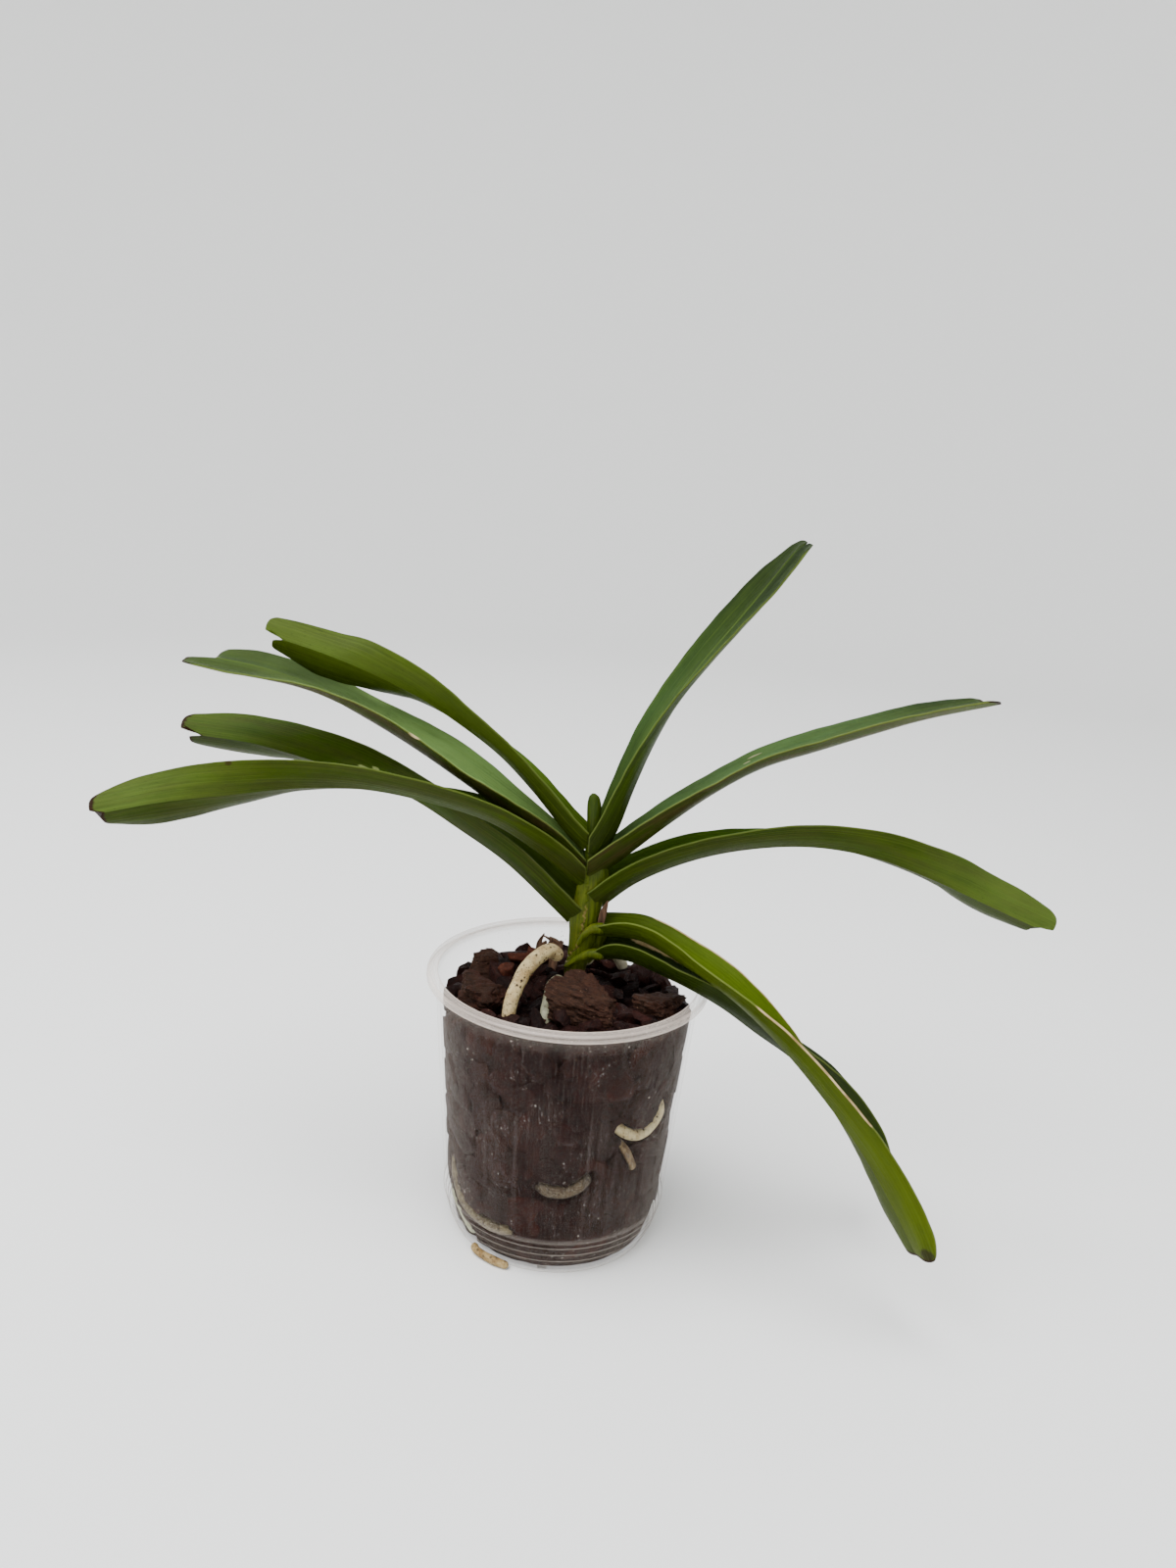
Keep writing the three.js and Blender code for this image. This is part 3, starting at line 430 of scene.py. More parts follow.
def make_piece(name, places, faces, material, replaced, sharp, notes=None):
    """An object that rides on the part and stands for a node. Its material reads the notes at its points."""
    mesh = smooth_mesh(name, places, faces, material)
    for key, values in (notes or {}).items():
        values = np.asarray(values, np.float32)
        kind, field = ("FLOAT_VECTOR", "vector") if values.ndim == 2 else ("FLOAT", "value")
        mesh.attributes.new(key, kind, "POINT").data.foreach_set(field, values.ravel())
    mesh.set_sharp_from_angle(angle=math.radians(sharp))
    piece = add_object(name, mesh)
    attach(piece, "root")
    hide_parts(replaced)
    return piece


# Materials

class Shader:
    """A material with one principled surface, and short ways to add the nodes that feed it.

    A value may be a number, another node's output or a colour written as #rrggbb.
    """

    def __init__(self, name, **values):
        self.material = bpy.data.materials.new(name)
        self.material.use_nodes = True
        self.tree = self.material.node_tree
        self.surface = next(n for n in self.tree.nodes if n.type == "BSDF_PRINCIPLED")
        for key, value in values.items():
            self.set(key.replace("_", " ").title().replace("Ior", "IOR"), value)

    def feed(self, socket, value):
        if isinstance(value, bpy.types.NodeSocket):
            self.tree.links.new(value, socket)
        else:
            socket.default_value = linear(value) if isinstance(value, str) else value

    def set(self, name, value):
        self.feed(self.surface.inputs[name], value)

    def node(self, kind, out=0, inputs=(), **settings):
        made = self.tree.nodes.new("ShaderNode" + kind)
        for key, value in settings.items():
            setattr(made, key, value)
        for key, value in dict(inputs).items():
            self.feed(made.inputs[key], value)
        return made.outputs[out]

    def note(self, name, out="Fac"):
        return self.node("Attribute", out, attribute_name=name)

    def split(self, vector):
        return self.node("SeparateXYZ", inputs={0: vector}).node.outputs

    def math(self, operation, a, b=0.0, clamp=False):
        return self.node("Math", inputs={0: a, 1: b}, operation=operation, use_clamp=clamp)

    def times(self, a, b):
        return self.math("MULTIPLY", a, b)

    def less(self, a, b):
        return self.math("SUBTRACT", a, b)

    def shaken(self, value, by, amount):
        """Adds a noise's swing about its middle."""
        return self.math("ADD", value, self.times(self.less(by, 0.5), amount))

    def texture(self, kind, out, vector, scale, seed, **values):
        """A texture with one scale, or with one along each axis."""
        if isinstance(scale, tuple):
            inputs = {0: vector, 1: scale, 2: (0, 0, seed)}
            vector = self.node("VectorMath", inputs=inputs, operation="MULTIPLY_ADD")
            scale = 1.0
        return self.node(kind, out, {"Vector": vector, "Scale": scale, **values})

    def noise(self, vector, scale, detail=3.0, roughness=0.55, distortion=0.0, seed=0.0):
        return self.texture("TexNoise", "Fac", vector, scale, seed, Detail=detail, Roughness=roughness,
                            Distortion=distortion)

    def cells(self, vector, scale, seed=0.0):
        return self.texture("TexVoronoi", "Distance", vector, scale, seed)

    def stretch(self, value, low, high, to_low=0.0, to_high=1.0):
        """Maps low..high to another range and stops at its ends."""
        return self.node("MapRange", inputs={0: value, 1: low, 2: high, 3: to_low, 4: to_high})

    def rise(self, value, low, high, most=1.0):
        return self.stretch(value, low, high, 0.0, most)

    def fall(self, value, low, high, most=1.0):
        return self.stretch(value, low, high, most, 0.0)

    def mix(self, share, a, b):
        return self.node("Mix", 2, {0: share, 6: a, 7: b}, data_type="RGBA")

    def layered(self, colour, *layers):
        """Lays colours over a first one: where each shows, the colour and, if not full, its strength."""
        for where, over, *strength in layers:
            if strength:
                over = self.mix(strength[0], colour, over)
            colour = self.mix(where, colour, over)
        return colour

    def finish(self, colour, roughness=None, bumps=()):
        """Feeds the surface. Each bump is a height and how many millimetres it rises."""
        self.set("Base Color", colour)
        if roughness is not None:
            self.set("Roughness", roughness)
        inputs = {}
        for height, rise in bumps:
            inputs |= {"Strength": 1.0, "Distance": rise * MM, "Height": height}
            inputs["Normal"] = self.node("Bump", inputs=inputs)
            self.set("Normal", inputs["Normal"])
        return self.material


def leaf_material(leaf):
    """A leathery blade: parallel veins, a thin pale margin, a flush of brown, scars and dried tissue, with
    painted light and shade: the near underside paler towards the tip, the far underside darker, and the
    upper side darker towards the tip as a painted sheen.
    """
    s = Shader(leaf["name"] + "_skin", roughness=0.5, specular_ior_level=0.04)
    blade = s.note("blade", "Vector")
    along, across, upper = s.split(blade)
    margin, tip, dry = s.split(s.note("rims", "Vector"))
    seed = float(len(leaf["name"]) + leaf["near_lobe"])

    def streaks(lengthwise, crosswise, detail=3.0):
        return s.noise(blade, (lengthwise, crosswise, 0), detail, seed=seed)

    veins, mottle, grain = streaks(0.02, 2.4, 2.0), streaks(0.07, 0.3), streaks(0.9, 2.2, 4.0)
    shade, streak = streaks(0.03, 0.12), streaks(0.35, 1.5, 5.0)
    below = s.less(1.0, upper)
    far = s.math("LESS_THAN", across, 0.0)
    near_below = s.times(below, s.less(1.0, far))
    crease = s.math("ABSOLUTE", across)
    flush = s.times(s.rise(streaks(0.06, 0.35), 0.36, 0.62), leaf["flush"])
    flush = s.times(flush, s.less(1.0, s.times(upper, 0.85)))
    dots = s.times(s.fall(s.cells(blade, (0.8, 1.3, 0), seed), 0.05, 0.11), s.rise(mottle, 0.45, 0.55))
    dried = s.rise(s.shaken(dry, streak, 0.9), 0.4, 0.62)
    colour = s.layered(
        s.mix(upper, leaf["under"], leaf["upper"]),
        (s.fall(along, 6, 34), "#1e2701", 0.62),
        # Painted sheen: the upper side is darker towards the tip, so the rest of it stays lighter as if it
        # caught the sky
        (s.times(s.fall(tip, 15, 62), upper), "#0c1605", 0.84),
        (s.times(s.rise(tip, 35, 85), below), "#141c03", 0.38),
        # Painted light: the near underside is paler towards the tip, where that half faces the light
        (s.times(s.fall(tip, 10, 52), near_below), "#86a05a", leaf.get("tip_painted_light", LEAF_TIP_PAINTED_LIGHT)),
        # Painted shade: the far underside is darker, as if in shade under the fold
        (s.times(far, below), "#101803", leaf.get("far_painted_shade", LEAF_FAR_PAINTED_SHADE)),
        (s.rise(shade, 0.35, 0.7), "#3f5208", 0.2),
        (s.rise(mottle, 0.42, 0.75), "#101c05", 0.3),
        (s.rise(veins, 0.45, 0.72), "#5f7226", 0.16),
        (s.fall(veins, 0.25, 0.4), "#101c06", 0.22),
        (s.rise(grain, 0.6, 0.78), "#101a06", 0.45),
        (s.times(flush, 0.75), "#3e2a1e"),
        (s.times(s.fall(crease, 0.1, 0.7, 0.5), upper), "#5f7628", 0.5),
        (s.times(s.fall(margin, 0.06, 0.26, 0.48), leaf["margin"]), "#6f7a3c"),
        (s.times(dots, 0.6), "#1c1c0a"),
        (dried, s.mix(s.rise(streak, 0.35, 0.7), "#baa67e", "#806840")))
    for at_along, at_across, length, width, on_top, look in leaf.get("scars", ()):
        parts = [s.math("POWER", s.math("DIVIDE", s.less(value, at), half), 2.0)
                 for value, at, half in ((along, at_along, length), (across, at_across, width))]
        away = s.shaken(s.math("ADD", *parts), streak, 2.4)
        colour = s.layered(colour, (s.times(s.fall(away, 0.5, 1.1, 0.75), upper if on_top else below), look))
    if "brown_tip" in leaf:
        reach = leaf["brown_tip"]
        colour = s.layered(colour, (s.fall(s.shaken(tip, streak, 1.6), reach * 0.6, reach), "#25160c"))
    roughness = s.math("ADD", s.stretch(grain, 0.3, 0.7, 0.4, 0.52), s.times(dried, 0.3))
    bumps = ((veins, 0.16), (mottle, 0.12), (grain, 0.05), (s.rise(crease, 0.0, 0.8), 0.1))
    return s.finish(colour, roughness, bumps)


# Leaves

class Blade:
    """What both halves of a leaf share: the keel line, and how wide a half is along it."""

    def __init__(self, leaf):
        self.leaf = leaf
        self.shares = np.linspace(0, 1, LEAF_RINGS)
        self.keel, self.along = spline(leaf["keel"], self.shares)
        self.front = unit(FRONT - self.along * (self.along @ FRONT)[:, None])
        self.up = np.cross(self.along, self.front) * -leaf["side"]
        self.from_base = lengths_along(self.keel)
        self.length = self.from_base[-1]
        self.to_tip = (1 - self.shares) * self.length
        self.tip_share = 1 - np.minimum(self.to_tip / LEAF_TIP_LENGTH, 1)
        widening = np.minimum(self.shares * self.length / LEAF_WIDENING_LENGTH, 1)
        width = LEAF_BASE_HALF_WIDTH + (LEAF_HALF_WIDTH - LEAF_BASE_HALF_WIDTH) * widening
        self.width = width * (1 - LEAF_TIP_NARROWING * self.tip_share ** 2)

    def near_foot(self, reach):
        """1 at the foot, falling to 0 where the reach ends."""
        return np.maximum(1 - self.shares * self.length / reach, 0)


def clipped_width(width, keel_x, direction_x, side):
    """The half's width, cut off where it would cross the plant's middle plane."""
    room = side * (keel_x - PLANT_MIDDLE) - MIDDLE_CLEARANCE
    inward = -side * direction_x
    limit = np.maximum(room, LEAST_ROOM) / np.maximum(inward, 1e-6)
    return np.where(inward > 0, np.minimum(width, limit), width)


def half_width(blade, hand, half, direction):
    """How wide a half is at each ring, with its own foot and its slow waves."""
    leaf = blade.leaf
    clasp = leaf.get(half + "_clasp", 0) * blade.near_foot(LEAF_CLASP_LENGTH)
    taper = leaf.get(half + "_taper", 0) * blade.near_foot(LEAF_TAPER_LENGTH) ** 1.5
    own_width = blade.width * leaf.get(half + "_width", 1) + clasp + taper
    width = clipped_width(own_width, blade.keel[:, 0], direction[:, 0], leaf["side"])
    amount, waves = LEAF_WIDTH_WAVES
    return width * (1 + amount * ripple(blade.shares, leaf["name"] + str(hand), waves))


def lobe_shift(blade, half):
    """How far each point of a half is moved along the blade to shape its lobe of the tip."""
    p = HALF_SECTIONS
    outer, inner = (1 - np.sqrt(1 - 0.985 * np.clip(share, 0, 1) ** 2) for share in (2 * p - 1, 1 - 2 * p))
    rounding = blade.leaf.get(half + "_round", LEAF_TIP_ROUNDING) * outer + LEAF_NOTCH_ROUNDING * inner
    lobe_end = blade.leaf[half + "_lobe"] * smooth_step(p / 0.2) - rounding
    return (blade.tip_share ** 2)[:, None] * lobe_end


def half_depths(blade, hand, width, keel_thickness):
    """Where the middle of a half's thickness lies at each point, and half that thickness."""
    p = HALF_SECTIONS
    amount, waves = LEAF_DEPTH_WAVES
    bulge = -LEAF_HALF_BULGE * np.abs(np.sin(np.pi * p)) ** 1.5 * np.minimum(width / 8, 1)
    wave = ripple(blade.shares, blade.leaf["name"] + "wave" + str(hand), waves)[:, None]
    bulge = bulge + amount * p ** 2 * wave
    thinning = np.sqrt(np.clip(blade.to_tip / LEAF_TIP_THINNING, 0.12, 1))[:, None]
    thick = (keel_thickness + (LEAF_EDGE_THICKNESS - keel_thickness) * np.sqrt(p)) * thinning
    past_edge = (p * width - width + LEAF_MARGIN_ROUNDING) / LEAF_MARGIN_ROUNDING
    rounded = np.sqrt(np.clip(1 - np.clip(past_edge, 0, 1) ** 2, 0.05, 1))
    return bulge + thick / 2, thick / 2 * rounded


def dry_amount(leaf, half, from_base, from_margin):
    """How dried the tissue is at each point of a half, 0 to 1."""
    amount = np.zeros_like(from_margin)
    for dry_half, start, end, width in leaf.get("dried", ()):
        if dry_half == half:
            window = smooth_step((from_base - start) / 6) * smooth_step((end - from_base) / 10)
            amount = np.maximum(amount, window * np.clip(1.5 - from_margin / width, 0, 1))
    return amount


def half_face(blade, hand, upper):
    """The upper side or the underside of one half: its points, and two notes of three numbers for each."""
    half = "near" if hand > 0 else "far"
    p = HALF_SECTIONS
    fold, roll = (np.radians(eased(blade.leaf[key], blade.shares)) for key in ("fold", "roll"))
    angle = (fold - hand * roll)[:, None]
    direction = hand * blade.front * np.sin(angle) + blade.up * np.cos(angle)
    inside = -hand * blade.front * np.cos(angle) + blade.up * np.sin(angle)
    width = half_width(blade, hand, half, direction)[:, None]
    slope = np.tan(np.minimum(fold, 1.5))[:, None]
    keel_thickness = np.minimum(LEAF_KEEL_THICKNESS, 0.75 * width * slope)
    fold_offset = keel_thickness / slope * upper
    middle, half_thick = half_depths(blade, hand, width, keel_thickness)
    reach = fold_offset + p * (width - fold_offset)
    depth = middle + half_thick if upper else middle - half_thick
    moves = ((direction, reach), (inside, depth), (blade.along, lobe_shift(blade, half)))
    places = blade.keel[:, None] + sum(way[:, None] * amount[..., None] for way, amount in moves)
    across = hand * p * width
    from_margin = np.maximum((1 - p) * width, 0)
    from_base, from_tip = (values[:, None] + 0 * across for values in (blade.from_base, blade.to_tip))
    dry = dry_amount(blade.leaf, half, from_base, from_margin)
    blade_note = np.stack([from_base, across, np.full_like(across, upper)], axis=-1)
    return places, blade_note, np.stack([from_margin, from_tip, dry], axis=-1)


def make_leaf(leaf):
    """A closed blade: each ring runs in along the near underside, out along the far one and back on top."""
    blade = Blade(leaf)
    outward = np.arange(len(HALF_SECTIONS))
    runs = ((1, 0, outward[::-1]), (-1, 0, outward[1:]), (-1, 1, outward[::-1]), (1, 1, outward[1:]))
    parts = [[values[:, order] for values in half_face(blade, hand, upper)] for hand, upper, order in runs]
    places, blade_note, rims = (np.concatenate(values, axis=1) for values in zip(*parts))
    faces = loop_faces(LEAF_RINGS, places.shape[1], flip=leaf["side"] < 0)
    make_piece(leaf["name"] + "_blade", places.reshape(-1, 3), faces, leaf_material(leaf), leaf["name"],
               24,
               {"blade": blade_note.reshape(-1, 3), "rims": rims.reshape(-1, 3)})


# Pot

def wall_radius(height):
    """The outer wall's radius at a height, below the lip."""
    share = (height - WALL_LOW_HEIGHT) / (POT_HEIGHT - LIP_HEIGHT - WALL_LOW_HEIGHT)
    if share > 0:
        return WALL_LOW_RADIUS + (WALL_TOP_RADIUS - WALL_LOW_RADIUS) * min(share, 1)
    return FOOT_RADIUS + (WALL_LOW_RADIUS - FOOT_RADIUS) * (height / WALL_LOW_HEIGHT)


def wall_points(start, end, count, inset):
    """The straight wall's outline, a little milkier close under the lip."""
    heights = np.linspace(start, end, count)
    milk = UPPER_MILK * smooth_step((heights - UPPER_MILK_START) / 5)
    return [(wall_radius(height) - inset, float(height), float(m)) for height, m in zip(heights, milk)]


def pot_outline():
    """The turned outline from the middle of the underside, out, up, over the lip and down the inside.

    Each point has a third number: how much thicker and milkier the plastic looks there.
    """
    foot = FOOT_RADIUS - WALL_THICKNESS
    outline = [(0.0, 0.0, 0.1), (20.0, 0.0, 0.1), (FOOT_RADIUS - 0.7, 0.0, 0.2),
               (FOOT_RADIUS - 0.15, 0.25, 0.6)]
    for height in RING_HEIGHTS:
        for offset, rise, milk in RING_OUTLINE:
            outline.append((wall_radius(height + offset) + rise * RING_RISE, height + offset, milk))
    outline.append((WALL_LOW_RADIUS - 0.1, WALL_LOW_HEIGHT - 0.4, 0.0))
    outline.append((WALL_LOW_RADIUS + 0.08, WALL_LOW_HEIGHT + 0.3, 0.3))
    outline += wall_points(WALL_LOW_HEIGHT + 2, POT_HEIGHT - LIP_HEIGHT - 0.4, 26, 0)
    outline += [(LIP_RADIUS - inset, POT_HEIGHT - drop, milk) for inset, drop, milk in LIP_OUTLINE]
    outline += wall_points(POT_HEIGHT - LIP_HEIGHT - 3, WALL_LOW_HEIGHT + 2, 24, WALL_THICKNESS)
    return outline + [(WALL_LOW_RADIUS - WALL_THICKNESS, WALL_LOW_HEIGHT, 0.0),
                      (foot + 0.8, FLOOR_THICKNESS + 1.2, 0.04), (foot - 0.6, FLOOR_THICKNESS, 0.2),
                      (0.0, FLOOR_THICKNESS, 0.1)]


def notch_cutter(angle, rng):
    """A prism with a torn outline that opens the wall's foot for drainage."""
    half = NOTCH_WIDTH / 2
    outline = [(-half, -1.0), (half, -1.0)]
    for share, rise in NOTCH_EDGE:
        outline.append((half * share + rng.uniform(-0.25, 0.25), NOTCH_HEIGHT * rise))
    turn = Matrix.Rotation(math.radians(angle), 4, "Z")
    places = [turn @ Vector((depth, y, z)) * MM
              for depth in (FOOT_RADIUS - NOTCH_DEPTH, FOOT_RADIUS + 12) for y, z in outline]
    mesh = bpy.data.meshes.new("notch")
    mesh.from_pydata(places, [], loop_faces(2, len(outline), flip=True))
    return add_object("notch", mesh)


def pot_material():
    """Thin milky plastic: clear between its streaks, specks and scratches, and whiter where it is thick."""
    s = Shader("pot_plastic_skin", roughness=0.3, specular_ior_level=0.5)
    place = s.node("TexCoord", "Object")
    x, y, z = s.split(place)
    around = s.node("CombineXYZ", inputs={0: s.math("ARCTAN2", y, x), 1: z})
    streaks = s.noise(around, (70, 14, 0), 5.0, 0.65)
    scratches = s.noise(around, (190, 60, 0), 2.0, 0.5, seed=4.0)
    cloud = s.noise(place, 38.0, 4.0, 0.6)
    dusty = s.rise(s.noise(place, 75.0, 2.0), 0.46, 0.6)
    specks = s.math("ADD", s.fall(s.cells(place, 560.0), 0.08, 0.16, 0.3),
                    s.fall(s.cells(place, 240.0), 0.05, 0.09, 0.42))
    grazing = s.math("POWER", s.node("LayerWeight", "Facing", {"Blend": 0.5}), 3.0)
    parts = (s.rise(streaks, 0.48, 0.8, 0.035), s.rise(cloud, 0.45, 0.7, 0.006),
             s.rise(scratches, 0.68, 0.76, 0.035), s.times(grazing, 0.11), s.times(s.note("milk"), 0.38))
    haze = s.times(specks, dusty)
    for part in parts:
        haze = s.math("ADD", haze, part, clamp=True)
    s.set("Alpha", haze)
    roughness = s.stretch(cloud, 0.3, 0.7, 0.2, 0.36)
    return s.finish(s.mix(cloud, "#d8c7ba", "#ecdfd2"), roughness, ((cloud, 0.1), (streaks, 0.02)))


def make_pot():
    rng = random.Random(4)
    outline = pot_outline()
    places, faces = turned([point[:2] for point in outline], POT_SEGMENTS)
    milk = [point[2] for point in outline]
    milk = [*np.repeat(milk[1:-1], POT_SEGMENTS), milk[0], milk[-1]]
    pot = make_piece("pot_shell", places, faces, pot_material(), "pot", 50, {"milk": milk})
    cutters = [notch_cutter(angle, rng) for angle in NOTCH_ANGLES]
    for cutter in cutters:
        cut = pot.modifiers.new("notch", "BOOLEAN")
        cut.operation = "DIFFERENCE"
        cut.solver = "EXACT"
        cut.object = cutter
    finished = bpy.data.meshes.new_from_object(pot.evaluated_get(bpy.context.evaluated_depsgraph_get()))
    pot.modifiers.clear()
    pot.data = finished
    for cutter in cutters:
        bpy.data.objects.remove(cutter)


# Bark

def bark_material(name, dark, light, shine):
    """Damp pine bark: dark, layered and fibrous, lighter on its raised crumbs and near black between them
    (partly its own colour, partly painted highlight and shade), with small light flecks on the crumbs as
    painted glints.
    """
    s = Shader(name, specular_ior_level=0.1)
    local = s.note("local", "Vector")
    tone, red, _ = s.split(s.note("tone", "Vector"))
    fibre = s.noise(local, (0.24, 0.8, 1.2), 6.0, 0.66, 1.2)
    crumb = s.noise(local, 0.9, 6.0, 0.7)
    patches = s.noise(local, 0.16)
    painted_glints = s.fall(s.cells(local, 0.75), 0.1, 0.19, 0.6)
    colour = s.layered(
        s.mix(s.rise(fibre, 0.3, 0.72), dark, light),
        (s.times(s.rise(patches, 0.42, 0.62), s.times(red, 0.5)), "#35150d"),
        # Lighter on the raised crumbs and near black in the hollows between them: partly the bark's own
        # colour, partly painted highlight and painted shade
        (s.rise(crumb, 0.62, 0.76, 0.6), "#493023"),
        (s.fall(crumb, 0.3, 0.44, 0.8), "#080403"),
        # Painted glints: small light flecks on the raised crumbs
        (s.times(painted_glints, s.rise(crumb, 0.5, 0.6)), "#8d7462"))
    colour = s.node("HueSaturation", inputs={"Value": s.stretch(tone, 0, 1, 0.4, 1.5), "Color": colour})
    return s.finish(colour, s.stretch(crumb, 0.35, 0.65, shine, 0.92), ((fibre, 0.5), (crumb, 0.35)))


def ball(level):
    """The points and triangles of an even ball."""
    made = bmesh.new()
    bmesh.ops.create_icosphere(made, subdivisions=level, radius=1)
    points = np.array([v.co[:] for v in made.verts])
    triangles = [tuple(v.index for v in f.verts) for f in made.faces]
    made.free()
    return points, triangles


def broken_sides(rng, planes):
    """The flat sides that a chip is broken along: which way each faces, and how far out it lies."""
    sides = [((0, 0, 1), 0.8), ((0, 0, -1), 0.8)]
    start = rng.uniform(0, 6.28)
    for i in range(planes):
        turn = start + 6.28 * (i + rng.uniform(-0.3, 0.3)) / planes
        tilt = rng.uniform(-0.5, 0.5)
        sides.append(((math.cos(turn), math.sin(turn), tilt), rng.uniform(0.72, 1.0)))
    for _ in range(3):
        normal = [rng.uniform(-1, 1) for _ in range(3)]
        sides.append((normal, rng.uniform(0.8, 0.98)))
    return sides


def skin_noise(form, offset, layer):
    """How far one layer of noise lifts a chip's skin at each point."""
    lift, scale, settings = layer
    return lift * np.array([noise.fractal(Vector(p) + offset, *settings) for p in form * scale])


def crack(form):
    """How deep the crack is at each point of the front chip."""
    across = form[:, 0]
    wander = 0.9 * np.sin(across * 0.45) + 0.4 * np.sin(across * 1.3)
    beside = form[:, 1] - CRACK_PLACE + 0.12 * across + wander
    ends = smooth_step((CRACK_HALF_LENGTH - np.abs(across)) / 4)
    return CRACK_DEPTH * np.exp(-(beside / CRACK_WIDTH) ** 2) * ends


def chip_form(rng, level, half, planes, bark=1.0):
    """A lump with flat broken sides and a fibrous, layered skin, and its faces. A level says how fine."""
    directions, faces = BALLS[level]
    reach = np.full(len(directions), 1.5)
    for normal, height in broken_sides(rng, planes):
        facing = directions @ np.array(normal) / np.linalg.norm(normal)
        reach = np.where(facing > 0.05, np.minimum(reach, height / np.maximum(facing, 0.05)), reach)
    form = directions * reach[:, None] * np.array(half)
    offset = Vector([rng.uniform(0, 99) for _ in range(3)])
    rough = skin_noise(form, offset, CHIP_LUMPS) + skin_noise(form, offset, CHIP_LAYERS)
    if level > SMALL_CHIP_LEVEL:
        rough -= np.abs(skin_noise(form, offset, CHIP_FURROWS))
    if level == FRONT_CHIP_LEVEL:
        rough -= crack(form)
    return form * (1 + bark * rough)[:, None], faces


def inner_wall(height):
    return wall_radius(height) - WALL_THICKNESS - CHIP_WALL_GAP


def showing(share, stretch):
    """1 where a wall root lies against the plastic, falling to 0 where chips cover it."""
    start, end = stretch
    return float(smooth_step((share - start) / 0.1 + 0.5) * smooth_step((end - share) / 0.1 + 0.5))


def root_paths():
    """Every root's name, radius, path and looks."""
    paths = list(ROOTS)
    for name, radius, turns, stretch, looks in WALL_ROOTS:
        path = []
        for k, (angle, height) in enumerate(turns):
            sunk = COVERED_DEPTH * (1 - showing(k / (len(turns) - 1), stretch))
            reach = wall_radius(height) - WALL_THICKNESS - WALL_ROOT_GAP - radius - sunk
            turn = math.radians(angle)
            path.append((reach * math.cos(turn), reach * math.sin(turn), height))
        paths.append((name, radius, path, looks))
    return paths


def showing_points():
    """Places along the stretches of wall roots that show, with each root's radius."""
    stretches = {root[0]: root[3] for root in WALL_ROOTS}
    shares = np.linspace(0, 1, 60)
    found = []
    for name, radius, path, _ in root_paths():
        if name in stretches:
            kept = [showing(share, stretches[name]) > 0.5 for share in shares]
            found.append((spline(path, shares)[0][kept], radius))
    return found


def keep_inside(places, inset=0.0):
    """Presses chips flat against the wall and leaves room for the roots that run along it."""
    turns = np.arctan2(places[:, 1], places[:, 0])[:, None]
    limit = np.array([inner_wall(max(z, 2.0)) for z in places[:, 2]]) - inset
    for points, root_radius in WALL_ROOT_POINTS:
        turn = (turns - np.arctan2(points[:, 1], points[:, 0]) + np.pi) % (2 * np.pi) - np.pi
        apart = np.hypot(turn * MEAN_WALL_RADIUS, places[:, 2][:, None] - points[:, 2]).min(axis=1)
        beside = smooth_step((root_radius + ROOT_ROOM_BESIDE - apart) / ROOT_ROOM_FADE)
        limit = limit - (2 * root_radius + ROOT_ROOM_BEHIND) * beside
    kept = places.copy()
    radius = np.maximum(np.hypot(places[:, 0], places[:, 1]), 1e-6)
    kept[:, :2] *= np.minimum(1, limit / radius)[:, None]
    kept[:, 2] = np.maximum(kept[:, 2], FLOOR_THICKNESS + CHIP_FLOOR_GAP)
    return kept


class Heap:
    """Collects chips into one mesh, with each chip's own coordinates and tone."""

    def __init__(self):
        self.places, self.faces, self.local, self.tone = [], [], [], []
        self.count = 0

    def add(self, places, chip, tone, red, inset=0.0):
        form, faces = chip
        self.faces += [tuple(i + self.count for i in face) for face in faces]
        self.places.append(keep_inside(places, inset))
        self.local.append(form)
        self.tone.append(np.tile((tone, red, 0), (len(places), 1)))
        self.count += len(places)

    def piece(self, name, material, replaced="bark_bed", slot="bark"):
        notes = {"local": np.vstack(self.local), "tone": np.vstack(self.tone)}
        make_piece(name, np.vstack(self.places), self.faces, material, replaced, 38, notes)


# How fine each kind of chip is, the balls that they start from, and what all chips share
HEAP_CHIP_LEVEL = 3
SMALL_CHIP_LEVEL = 4
LOOSE_CHIP_LEVEL = 5
FRONT_CHIP_LEVEL = 6
BALLS = {level: ball(level) for level in range(HEAP_CHIP_LEVEL, FRONT_CHIP_LEVEL + 1)}
WALL_ROOT_POINTS = showing_points()
BARK_DARK = bark_material("bark_skin", "#0b0303", "#29120d", 0.45)
BARK_LIGHT = bark_material("bark_chip_skin", "#140a07", "#3a261b", 0.5)
BARK_RED = bark_material("bark_red_skin", "#200d08", "#532a1b", 0.45)


def make_bark_core():
    """The dark heart of the filling behind the chips."""
    rim = [(inner_wall(height) - inset, height) for height, inset in CORE_RIM]
    outline = [(0.0, CORE_RIM[0][0]), *rim, *CORE_TOP]
    dense = []
    for (r0, z0), (r1, z1) in zip(outline, outline[1:]):
        steps = max(2, int(math.hypot(r1 - r0, z1 - z0) / CORE_STEP))
        dense += [(r0 + (r1 - r0) * k / steps, z0 + (z1 - z0) * k / steps) for k in range(steps)]
    places, faces = turned(dense + [outline[-1]], CORE_SEGMENTS)
    places = np.array(places, float)
    for i, p in enumerate(places):
        push = noise.fractal(Vector(p) * 0.14, 0.7, 2.1, 3)
        places[i, :2] *= 1 + CORE_SIDE_LUMPS * push
        if p[2] > CORE_LUMPS_FROM:
            places[i, 2] += CORE_TOP_LUMPS * push
    places = keep_inside(places, CORE_GAP)
    notes = {"local": places, "tone": np.tile((0.3, 0.2, 0), (len(places), 1))}
    make_piece("bark_core", places, faces, BARK_DARK, "bark_bed", 60, notes)


